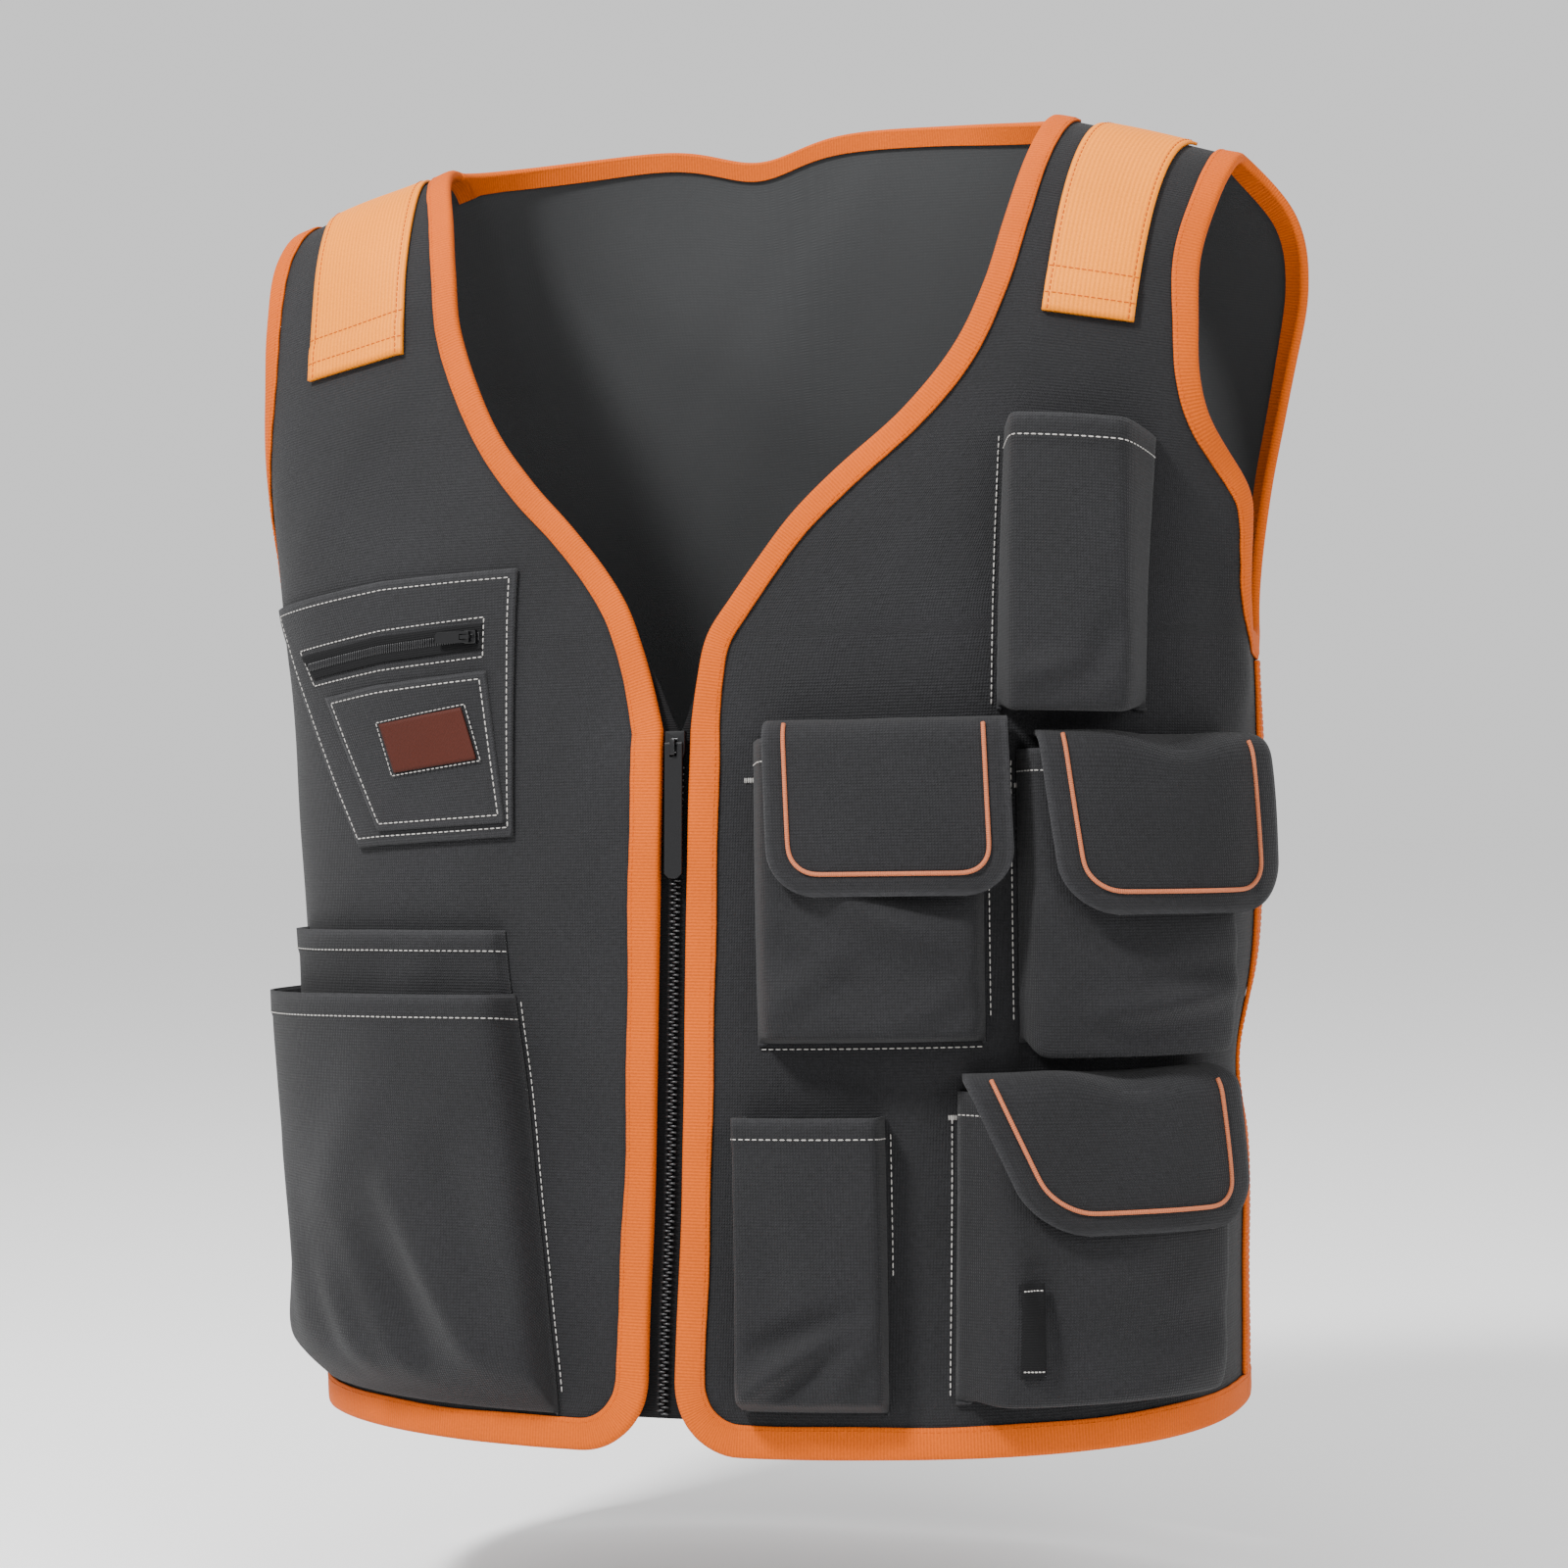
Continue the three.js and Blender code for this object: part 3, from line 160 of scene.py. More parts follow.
# Folds on pocket faces: ends as shares of the face's width and height, then width and depth in millimetres
POCKET_FOLDS = {
    "lower_outer_pocket": [
        (0.16, 0.16, 0.36, 0.52, 9, 3.4), (0.3, 0.12, 0.46, 0.4, 8, -3.0), (0.5, 0.1, 0.62, 0.3, 9, 1.8),
        (0.1, 0.3, 0.2, 0.62, 10, -1.6), (0.6, 0.5, 0.4, 0.8, 16, 1.4), (0.75, 0.2, 0.9, 0.55, 12, 1.3),
    ],
    "lower_inner_pocket": [(0.3, 0.95, 0.4, 0.6, 14, 1.2)],
    "phone_pocket": [
        (0.15, 0.1, 0.6, 0.16, 6, 1.4), (0.7, 0.12, 0.95, 0.34, 6, -1.4), (0.1, 0.7, 0.3, 0.4, 8, -0.7),
    ],
    "flap_pocket_inner": [
        (0.35, 0.5, 0.95, 0.28, 9, 3.2), (0.6, 0.5, 1.0, 0.5, 12, -3.0), (0.1, 0.32, 0.5, 0.12, 9, -2.4),
        (0.05, 0.12, 0.4, 0.3, 8, 1.6), (0.75, 0.1, 0.95, 0.2, 6, 1.0),
    ],
    "flap_pocket_outer": [
        (0.05, 0.45, 0.3, 0.2, 10, 2.2), (0.25, 0.38, 0.95, 0.45, 15, -3.2), (0.3, 0.1, 0.9, 0.16, 7, 2.6),
        (0.55, 0.2, 1.0, 0.26, 7, -1.8),
    ],
    "pliers_pocket": [
        (0.1, 0.06, 0.62, 0.24, 5, 3.4), (0.2, 0.22, 0.8, 0.34, 6, -2.4), (0.7, 0.08, 0.95, 0.26, 6, 1.6),
        (0.3, 0.4, 0.2, 0.7, 9, -0.9),
    ],
    "lower_flap_pocket": [
        (0.02, 0.5, 0.16, 0.1, 8, 2.0), (0.14, 0.42, 0.24, 0.1, 6, -2.4), (0.26, 0.3, 0.6, 0.5, 12, 1.6),
        (0.5, 0.16, 0.95, 0.24, 12, -1.6),
    ],
}
FOLD_GAIN = 1.7
FLAP_CLOTH = 2
FLAP_GAP = 1
FLAPS = {
    "flap_inner": dict(over="flap_pocket_inner", top=307, bottom=233, wide=(45, 144), low=(49, 146),
                       corner=20, dips=[(80, 0.6, 14)]),
    "flap_outer": dict(over="flap_pocket_outer", top=301, bottom=225, wide=(155, 244), low=(163, 251),
                       corner=21, dips=[(208, 6.5, 14), (180, -1.0, 12)]),
    "flap_lower": dict(over="lower_flap_pocket", top=158, bottom=91, wide=(124, 229), low=(150, 234),
                       corner=20, dips=[(188, 6, 15), (160, -1.5, 12), (214, 1, 8)]),
}


def table_curve(rows, column, place):
    """Smooth curve through a table's column: cubic pieces whose slopes join each row's neighbours."""
    key = rows["height"]
    value = rows[column]
    last = len(key) - 1
    at = np.clip(place, key[0], key[last])
    i = np.clip(np.searchsorted(key, at, side="left") - 1, 0, last - 1)
    low = np.maximum(np.arange(last + 1) - 1, 0)
    high = np.minimum(np.arange(last + 1) + 1, last)
    slope = (value[high] - value[low]) / (key[high] - key[low])
    span = key[i + 1] - key[i]
    s = (at - key[i]) / span
    start = value[i] * (2 * s**3 - 3 * s**2 + 1)
    end = value[i + 1] * (3 * s**2 - 2 * s**3)
    return start + end + slope[i] * span * (s**3 - 2 * s**2 + s) + slope[i + 1] * span * (s**3 - s**2)


def mix(a, b, s):
    """Straight blend from a to b."""
    return a + (b - a) * s


def smooth_step(low, high, value):
    """Smooth rise from 0 at low to 1 at high."""
    s = np.clip((value - low) / (high - low), 0, 1)
    return s * s * (3 - 2 * s)


def unit(vectors):
    """Vectors of length 1."""
    return vectors / np.maximum(np.linalg.norm(vectors, axis=-1, keepdims=True), 1e-9)


def half_width(t, is_back):
    """Half width of the girth section; the back stands out beside the armholes."""
    s = np.clip((t * HEIGHT - ARMHOLE_BOTTOM) / (HEIGHT - ARMHOLE_BOTTOM), 0, 1)
    flare = np.where(is_back, BACK_FLARE * FLARE_GAIN * s**3 * (1 - s), 0)
    return HALF_WIDTH * table_curve(BODY_ROWS, "width", t) + flare


def section_power(t):
    """Power of the superellipse that each girth section follows."""
    return SECTION_POWER + SECTION_SQUARING * table_curve(BODY_ROWS, "square", t)


def fold_height(angle, t):
    """Sum of the soft folds: each falls off as a bell with the distance from its line."""
    total = np.zeros(np.shape(angle))
    for row in FOLDS:
        fold = dict(zip(FOLD_COLUMNS, row))
        ax = fold["angle"] * CLOTH_PER_DEGREE
        ay = fold["height"] * HEIGHT
        bx = fold["to_angle"] * CLOTH_PER_DEGREE - ax
        by = fold["to_height"] * HEIGHT - ay
        turned = angle - 360 * np.round((angle - fold["angle"]) / 360)
        px = turned * CLOTH_PER_DEGREE - ax
        py = t * HEIGHT - ay
        s = np.clip((px * bx + py * by) / (bx * bx + by * by), 0, 1)
        distance = np.hypot(px - bx * s, py - by * s) / (fold["width"] * FOLD_SIZE)
        total = total + fold["depth"] * FOLD_SIZE * np.exp(-distance * distance)
    return total


def shell_point(angle, t, folded=True):
    """Points of the body: a superellipse girth that rounds over to the shoulder crest, plus soft folds."""
    angle, t = np.broadcast_arrays(np.asarray(angle, float), np.asarray(t, float))
    sine = np.sin(angle * DEGREE)
    cosine = np.cos(angle * DEGREE)
    is_back = cosine < 0
    power = section_power(t)
    width = half_width(t, is_back)
    depth = np.where(is_back, BACK_DEPTH * table_curve(BODY_ROWS, "back", t),
                     FRONT_DEPTH * table_curve(BODY_ROWS, "front", t))
    across = np.sign(sine) * np.abs(sine) ** (2 / power)
    along = np.abs(cosine) ** (2 / power)
    x = width * across
    neck = np.abs(x) / NECK_HALF_WIDTH
    rise = np.maximum(t, 0)
    crest = np.sqrt(np.maximum(1 - rise**CREST_POWER, 0))
    inside = is_back & (neck < 1)
    share = np.maximum(1 - np.minimum(neck, 1) ** 2.5, 0)
    open_share = np.clip(BACK_NECK_DEPTH * np.sqrt(share) / np.maximum(depth * along, 1e-6), 0, 0.95)
    scooped = np.sqrt(open_share**2 + (1 - open_share**2) * crest**2)
    dip_place = (x / NECK_HALF_WIDTH - NECK_DIP_PLACE) / NECK_DIP_WIDTH
    dip = 1 - NECK_DIP_SHARE * np.exp(-(dip_place**2))
    stand = BACK_NECK_STAND * np.maximum(1 - np.minimum(neck, 1) ** 2, 0) ** 0.7 * dip * rise**8
    crest = np.where(inside, scooped, crest)
    lift = np.where(inside, stand, 0)
    facing = np.where(is_back, 1, -1)
    y = FORWARD_SWAY * table_curve(BODY_ROWS, "sway", t) + facing * depth * along * crest
    drop = SHOULDER_SLOPE * np.maximum(np.abs(x) - NECK_HALF_WIDTH, 0) * rise**DROP_POWER
    point = np.stack([x, y, t * HEIGHT - drop + lift], axis=-1)
    if folded:
        out_x = np.sign(sine) * np.abs(across) ** (power - 1) / width
        out_y = facing * along ** (power - 1) / depth
        out = unit(np.stack([out_x, out_y, np.zeros_like(out_x)], axis=-1))
        point = point + out * fold_height(angle, t)[..., None]
    return point


def shell_normal(angle, t):
    """Outward direction: the cross product of a small step round and a small step up."""
    rest = np.maximum(np.sqrt(np.maximum(1 - t, 0)), 0.01)
    around = shell_point(angle + 0.2, t) - shell_point(angle - 0.2, t)
    up = shell_point(angle, 1 - (rest - 0.004) ** 2) - shell_point(angle, 1 - (rest + 0.004) ** 2)
    return unit(np.cross(around, up))


def creases(point):
    """Small creases: a sum of slow waves across space, bent by one another so that they don't repeat."""
    total = 0
    for kx, ky, kz, phase, depth in CREASES:
        along = point[..., 0] * kx + point[..., 1] * ky + point[..., 2] * kz + phase
        total = total + depth * np.sin(along + 1.3 * np.sin(along * 0.37 + phase))
    return total


def layer(angle, t, out):
    """Points of a layer of cloth that lies a distance outside the body, creased with it."""
    angle, t = np.broadcast_arrays(np.asarray(angle, float), np.asarray(t, float))
    point = shell_point(angle, t)
    return point + shell_normal(angle, t) * (out + creases(point))[..., None]


GIRTH_ANGLES = np.arange(0, 121, 1.0)
GIRTH_LEVELS = np.linspace(0, 1, 231)
girth_points = shell_point(GIRTH_ANGLES[None, :], GIRTH_LEVELS[:, None], folded=False)
GIRTHS = np.zeros((len(GIRTH_LEVELS), len(GIRTH_ANGLES)))
GIRTHS[:, 1:] = np.cumsum(np.linalg.norm(np.diff(girth_points, axis=1), axis=-1), axis=1)


def angle_at_girth(girth, t):
    """Angle at a distance along the cloth from the centre front, read from a table of arc lengths."""
    girth, t = np.broadcast_arrays(np.asarray(girth, float), np.asarray(t, float))
    level = np.clip(t, 0, 1) * (len(GIRTH_LEVELS) - 1)
    i = np.minimum(level.astype(int), len(GIRTH_LEVELS) - 2)
    rows = mix(GIRTHS[i], GIRTHS[i + 1], (level - i)[..., None])
    wanted = np.abs(girth)[..., None]
    j = np.clip((rows < wanted).sum(-1, keepdims=True) - 1, 0, len(GIRTH_ANGLES) - 2)
    low = np.take_along_axis(rows, j, -1)
    high = np.take_along_axis(rows, j + 1, -1)
    return np.sign(girth) * (j + (wanted - low) / (high - low))[..., 0]


def angle_at_width(x, t):
    """Angle at a half width of the front section."""
    return np.arcsin(np.clip(x / half_width(t, False), 0, 1) ** (section_power(t) / 2)) / DEGREE


def on_cloth(girth, height, out):
    """Point at a distance along the cloth, a height and a distance outside the body."""
    t = np.asarray(height, float) / HEIGHT
    return layer(angle_at_girth(girth, t), t, out)


NAPE = shell_point(180.0, 1 - NAPE_DROP / HEIGHT)


def line_on_cloth(girth, height, out):
    """Points and outward directions of a line given along the cloth and up."""
    t = height / HEIGHT
    angle = angle_at_girth(girth, t)
    return layer(angle, t, out), shell_normal(angle, t)


def zip_line(height):
    """Distance of the zip's middle from the centre front."""
    return -ZIP_LEAN * (1 - np.minimum(height / ZIP_TOP, 1))


def closure_edge(side, height):
    """Distance of a front's free edge from the centre: it leans with the zip and rounds off at the hem."""
    corner = np.clip(CORNER_RADIUS - height, 0, CORNER_RADIUS)
    round_off = CORNER_RADIUS - np.sqrt(CORNER_RADIUS**2 - corner**2)
    return CLOSURE_HALF_GAP + SIDES[side]["sign"] * zip_line(height) + round_off


def inner_angle(side, t):
    """Angle of a front's free edge: the closure below the zip's top, the neckline above it."""
    height = t * HEIGHT
    low = angle_at_girth(closure_edge(side, height), t)
    rise = np.clip((height - ZIP_TOP) / (HEIGHT - ZIP_TOP), 0, 1)
    reach = SIDES[side]["reach"]
    share = table_curve(NECKLINE, side, rise)
    start = mix(CLOSURE_HALF_GAP, NECK_HALF_WIDTH, share * reach / NECK_HALF_WIDTH)
    high = angle_at_width(start + (NECK_HALF_WIDTH - reach) * rise**6, t)
    return np.where(height <= ZIP_TOP, low, high)


def armhole_angle(column, t):
    """Angle of an armhole's front or back edge, or of the side seam below it."""
    rise = np.clip((t * HEIGHT - ARMHOLE_BOTTOM) / (HEIGHT - ARMHOLE_BOTTOM), 0, 1)
    return np.where(rise > 0, table_curve(ARMHOLE, column, rise), SIDE_SEAM_ANGLE)


SHOULDER_ANGLE = ARMHOLE["left"][-1]
CREST_DEPTH = FRONT_DEPTH * BODY_ROWS["front"][-1]
SHOULDER_DEPTH = CREST_DEPTH * math.cos(SHOULDER_ANGLE * DEGREE) ** (2 / (SECTION_POWER + SECTION_SQUARING))
CREST_END = (1 - (0.15 / SHOULDER_DEPTH) ** 2) ** (1 / CREST_POWER)


def panel_levels():
    """Shares of the height for fine rows: close at the corner, the armhole's bottom and the crest."""
    corner = CORNER_RADIUS * (1 - np.cos(np.linspace(0, 90, 15) * DEGREE))
    straight = np.linspace(CORNER_RADIUS, ARMHOLE_BOTTOM, 106)[1:]
    turn = ARMHOLE_BOTTOM + np.array([0.4, 1, 2, 3.2, 4.6, 6.4, 8.4, 10.6, 13, 15.6, 18.4])
    low = np.concatenate([corner, straight, turn]) / HEIGHT
    start = math.sqrt(1 - low[-1])
    high = 1 - (start * (1 - np.arange(1, 90) / 90)) ** 2
    return np.concatenate([low, high[high < CREST_END], [CREST_END]])


# Mesh makers: every surface is a grid of points


def grid_faces(rows, columns, start=0):
    """Quads between neighbouring rows and columns of a grid."""
    i, j = np.meshgrid(np.arange(rows - 1), np.arange(columns - 1), indexing="ij")
    a = (start + i * columns + j).ravel()
    return np.stack([a, a + 1, a + columns + 1, a + columns], axis=1)


def rim_faces(rows, columns):
    """Quads that close the rim between an outer grid and an inner grid of the same size."""
    top = np.arange(columns)
    right = np.arange(1, rows) * columns + columns - 1
    bottom = (rows - 1) * columns + np.arange(columns - 2, -1, -1)
    left = np.arange(rows - 2, 0, -1) * columns
    rim = np.concatenate([top, right, bottom, left])
    after = np.roll(rim, -1)
    half = rows * columns
    return np.stack([after, rim, rim + half, after + half], axis=1)


def grid_lengths(grid):
    """Running lengths along the middle row and the middle column of a grid."""
    rows, columns = grid.shape[:2]
    across = np.linalg.norm(np.diff(grid[rows // 2], axis=0), axis=-1)
    down = np.linalg.norm(np.diff(grid[:, columns // 2], axis=0), axis=-1)
    return np.concatenate([[0], np.cumsum(across)]), np.concatenate([[0], np.cumsum(down)])


def grid_normals(grid):
    """Normals of a grid: the cross product of its steps across and down."""
    down = np.gradient(grid, axis=0)
    across = np.gradient(grid, axis=1)
    return unit(np.cross(across, down))


def outward_normals(grid):
    """Normals of a grid, turned so that they point away from the body at its middle."""
    normals = grid_normals(grid)
    middle = (grid.shape[0] // 2, grid.shape[1] // 2)
    if normals[middle] @ np.array([grid[middle][0] * 0.3, grid[middle][1], 0]) < 0:
        normals = -normals
    return normals


def build(name, points, faces, uv, materials, slots=None, wear=None):
    """Makes a mesh object from arrays, in metres from the nape, with its own map in metres."""
    place = (points - NAPE) * MM
    a, b, c = (place[faces[:, k]] for k in range(3))
    d = place[faces[:, 3]]
    volume = np.einsum("ij,ij->i", a, np.cross(b, c)).sum() + np.einsum("ij,ij->i", a, np.cross(c, d)).sum()
    if volume < 0:
        faces = faces[:, ::-1]
    mesh = bpy.data.meshes.new(name)
    mesh.vertices.add(len(place))
    mesh.vertices.foreach_set("co", place.astype(np.float32).ravel())
    mesh.loops.add(faces.size)
    mesh.loops.foreach_set("vertex_index", faces.astype(np.int32).ravel())
    mesh.polygons.add(len(faces))
    mesh.polygons.foreach_set("loop_start", np.arange(0, faces.size, 4, dtype=np.int32))
    mesh.update(calc_edges=True)
    layer_uv = mesh.uv_layers.new(name="Cloth")
    layer_uv.data.foreach_set("uv", (uv[faces.ravel()] * MM).astype(np.float32).ravel())
    worn = mesh.attributes.new("wear", "FLOAT", "POINT")
    worn.data.foreach_set("value", np.asarray(np.zeros(len(place)) if wear is None else wear, np.float32))
    for material in materials:
        mesh.materials.append(material)
    if slots is not None:
        mesh.polygons.foreach_set("material_index", slots.astype(np.int32))
    mesh.polygons.foreach_set("use_smooth", np.ones(len(faces), bool))
    mesh.validate()
    piece = bpy.data.objects.new(name, mesh)
    bpy.context.scene.collection.objects.link(piece)
    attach(piece, "vest")
    return piece


def shell_piece(name, node, outer, inner, material, lining=None, wear=None):
    """A sheet between an outer and an inner grid, closed round its rim, in place of one CAD node."""
    rows, columns = outer.shape[:2]
    half = rows * columns
    points = np.concatenate([outer.reshape(-1, 3), inner.reshape(-1, 3)])
    front = grid_faces(rows, columns)
    back = grid_faces(rows, columns, half)[:, ::-1]
    rim = rim_faces(rows, columns)
    faces = np.concatenate([front, back, rim])
    across, down = grid_lengths(outer)
    uv = np.stack(np.broadcast_arrays(across[None, :], down[:, None]), axis=-1).reshape(-1, 2)
    slots = np.zeros(len(faces), int)
    if lining is not None:
        slots[len(front):len(front) + len(back)] = 1
    materials = [material] if lining is None else [material, lining]
    worn = None if wear is None else np.tile(wear.ravel(), 2)
    piece = build(name, points, faces, np.tile(uv, (2, 1)), materials, slots, worn)
    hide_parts(node)
    return piece


def resample(path, step, *others):
    """Points at an even step along a path, with any other values carried along."""
    lengths = np.concatenate([[0], np.cumsum(np.linalg.norm(np.diff(path, axis=0), axis=-1))])
    count = max(int(round(lengths[-1] / step)), 1)
    at = (np.arange(count) + 0.5) / count * lengths[-1]
    carried = []
    for values in (path,) + others:
        columns = values if values.ndim == 2 else values[:, None]
        mixed = np.stack([np.interp(at, lengths, columns[:, k]) for k in range(columns.shape[1])], axis=1)
        carried.append(mixed if values.ndim == 2 else mixed[:, 0])
    return carried


def bead_shape(length, width, height):
    """A short lozenge with rounded ends: six-sided rings that narrow towards both ends."""
    sides = BEAD_SIDES
    rings = np.array([[-0.5, 0.3], [-0.33, 0.95], [0.33, 0.95], [0.5, 0.3]])
    turn = np.arange(sides) / sides * 2 * math.pi
    x = np.repeat(rings[:, 0] * length, sides)
    y = (rings[:, 1:] * np.cos(turn) * width / 2).ravel()
    z = (rings[:, 1:] * np.sin(turn) * height / 2).ravel()
    points = np.stack([x, y, z], axis=1)
    faces = []
    for ring in range(len(rings) - 1):
        for k in range(sides):
            a = ring * sides + k
            b = ring * sides + (k + 1) % sides
            faces.append([a, a + sides, b + sides, b])
    end = (len(rings) - 1) * sides
    faces += [[0, 1, 2, 3], [0, 3, 4, 5], [end + 3, end + 2, end + 1, end], [end + 5, end + 4, end + 3, end]]
    return points, np.array(faces)


def scatter(shape, centres, along, up):
    """Copies of a shape at many places, each turned to its own directions; returns points and faces."""
    points, faces = shape
    along = unit(along)
    side = unit(np.cross(up, along))
    up = np.cross(along, side)
    turned = (points[None, :, 0, None] * along[:, None] + points[None, :, 1, None] * side[:, None]
              + points[None, :, 2, None] * up[:, None])
    all_points = (centres[:, None] + turned).reshape(-1, 3)
    all_faces = (faces[None] + np.arange(len(centres))[:, None, None] * len(points)).reshape(-1, 4)
    return all_points, all_faces


class Thread:
    """Collects lines of stitches and makes them one piece."""

    def __init__(self, name, material, slot="tape"):
        self.name = name
        self.material = material
        self.slot = slot
        self.parts = []
        self.count = 0

    def line(self, path, normals, pitch=3.1, fill=0.74, width=0.62, lift=0.12):
        """Stitches end to end along a path on the cloth."""
        centres, up = resample(path, pitch, normals)
        along = np.gradient(centres, axis=0) if len(centres) > 1 else path[-1:] - path[:1]
        step = np.linalg.norm(path[-1] - path[0]) if len(centres) < 2 else pitch
        shape = bead_shape(min(step, pitch) * fill, width, width * 0.75)
        points, faces = scatter(shape, centres + unit(up) * lift, along, up)
        self.parts.append((points, faces + self.count))
        self.count += len(points)

    def make(self):
        """Makes the piece from all the lines."""
        points = np.concatenate([part[0] for part in self.parts])
        faces = np.concatenate([part[1] for part in self.parts])
        build(self.name, points, faces, points[:, [0, 2]], [self.material])


def tube(name, path, normals, radius, material, sides=10):
    """A round cord along a path: a circle carried square to it."""
    along = unit(np.gradient(path, axis=0))
    side = unit(np.cross(normals, along))
    up = np.cross(along, side)
    turn = np.arange(sides + 1) / sides * 2 * math.pi
    ring = radius * (np.cos(turn)[None, :, None] * side[:, None] + np.sin(turn)[None, :, None] * up[:, None])
    grid = path[:, None] + ring
    rows = len(path)
    faces = grid_faces(rows, sides + 1)
    lengths = np.concatenate([[0], np.cumsum(np.linalg.norm(np.diff(path, axis=0), axis=-1))])
    uv = np.stack(np.broadcast_arrays(lengths[:, None], turn[None, :] * radius), axis=-1).reshape(-1, 2)
    close_mesh(build(name, grid.reshape(-1, 3), faces, uv, [material]))


def close_mesh(piece):
    """Merges doubled vertices, fills open ends and turns the faces outwards."""
    work = bmesh.new()
    work.from_mesh(piece.data)
    bmesh.ops.remove_doubles(work, verts=work.verts, dist=1e-6)
    bmesh.ops.holes_fill(work, edges=[e for e in work.edges if e.is_boundary])
    bmesh.ops.recalc_face_normals(work, faces=work.faces)
    work.to_mesh(piece.data)
    work.free()


# Colours and materials


def linear(code, alpha=False):
    """Linear colour of an sRGB hex value."""
    values = np.array([int(code[k:k + 2], 16) for k in (1, 3, 5)]) / 255
    colour = np.where(values <= 0.04045, values / 12.92, ((values + 0.055) / 1.055) ** 2.4)
    return tuple(colour) + ((1.0,) if alpha else ())


def add_node(tree, kind, inputs=None, **settings):
    """Adds a node with its settings; inputs maps a socket's name or number to a value or another's output."""
    made = tree.nodes.new(kind)
    for key, value in settings.items():
        setattr(made, key, value)
    for key, value in (inputs or {}).items():
        socket = made.inputs[key]
        if isinstance(value, bpy.types.NodeSocket):
            tree.links.new(value, socket)
        else:
            socket.default_value = value
    return made


def new_material(name, roughness, **sockets):
    """A named material with its Principled shader; constants go on the shader's own sockets."""
    material = bpy.data.materials.new(name)
    material.use_nodes = True
    tree = material.node_tree
    shader = tree.nodes["Principled BSDF"]
    shader.inputs["Roughness"].default_value = roughness
    for key, value in sockets.items():
        shader.inputs[key.replace("_", " ")].default_value = value
    return material, tree, shader


def wave(tree, vector, direction, scale, **more):
    """Bands across one direction of the map."""
    inputs = {"Vector": vector, "Scale": scale, **more}
    return add_node(tree, "ShaderNodeTexWave", inputs, wave_type="BANDS", bands_direction=direction,
                    wave_profile="SIN").outputs["Fac"]


def noise(tree, vector, scale, **more):
    """Soft noise."""
    return add_node(tree, "ShaderNodeTexNoise", {"Vector": vector, "Scale": scale, **more}).outputs["Fac"]


def map_range(tree, value, low, high, to_low, to_high):
    """A value carried from one range to another."""
    inputs = {"Value": value, "From Min": low, "From Max": high, "To Min": to_low, "To Max": to_high}
    return add_node(tree, "ShaderNodeMapRange", inputs).outputs[0]


def around_one(tree, value, spread):
    """Noise, which keeps mostly between 0.3 and 0.7, as a factor around 1."""
    return map_range(tree, value, 0.3, 0.7, 1 - spread, 1 + spread)


def combine(tree, operation, a, b, **settings):
    """Two values added or multiplied."""
    return add_node(tree, "ShaderNodeMath", {0: a, 1: b}, operation=operation, **settings).outputs[0]


def scaled(tree, colour, tone):
    """A colour times a tone."""
    return add_node(tree, "ShaderNodeVectorMath", {0: colour, "Scale": tone}, operation="SCALE").outputs[0]


def finish_surface(tree, shader, colour, height, depth, strength=0.8):
    """Puts the colour and the bump on the shader."""
    bump = add_node(tree, "ShaderNodeBump", {"Height": height, "Distance": depth, "Strength": strength})
    tree.links.new(colour, shader.inputs["Base Color"])
    tree.links.new(bump.outputs["Normal"], shader.inputs["Normal"])


def woven(name, colour, thread, contrast, depth, roughness=0.85, sheen=0.05, wear=None, mottle=0.12):
    """Woven cloth: two crossed waves for warp and weft, flecked yarn, slow soiling and paler worn edges."""
    material, tree, shader = new_material(name, roughness, Sheen_Weight=sheen, Sheen_Roughness=0.5,
                                          Specular_IOR_Level=0.25)
    coordinates = add_node(tree, "ShaderNodeTexCoord")
    flat = coordinates.outputs["UV"]
    wave_scale = math.pi / 10 / thread
    weave = combine(tree, "MULTIPLY", wave(tree, flat, "X", wave_scale), wave(tree, flat, "Y", wave_scale))
    warp, weft = (add_node(tree, "ShaderNodeMapping", {"Vector": flat, "Scale": scale}).outputs["Vector"]
                  for scale in ((250, 900, 1), (900, 250, 1)))
    flecks = combine(tree, "ADD", noise(tree, warp, 1.0, Detail=2.0), noise(tree, weft, 1.0, Detail=2.0))
    soil = noise(tree, coordinates.outputs["Object"], 14.0, Detail=4.0)
    fleck_tone = map_range(tree, flecks, 0.7, 1.3, 1 - contrast, 1 + contrast)
    tone = combine(tree, "MULTIPLY", fleck_tone, around_one(tree, soil, mottle))
    weave_tone = map_range(tree, weave, 0.0, 1.0, 1 - contrast * 0.8, 1 + contrast)
    shade = scaled(tree, colour, combine(tree, "MULTIPLY", tone, weave_tone))
    if wear is not None:
        worn = add_node(tree, "ShaderNodeAttribute", attribute_name="wear").outputs["Fac"]
        patchy = combine(tree, "MULTIPLY", worn, flecks, use_clamp=True)
        shade = add_node(tree, "ShaderNodeMix", {"Factor": patchy, 6: shade, 7: wear + (1.0,)},
                         data_type="RGBA").outputs[2]
    finish_surface(tree, shader, shade, combine(tree, "ADD", weave, flecks), depth)
    return material


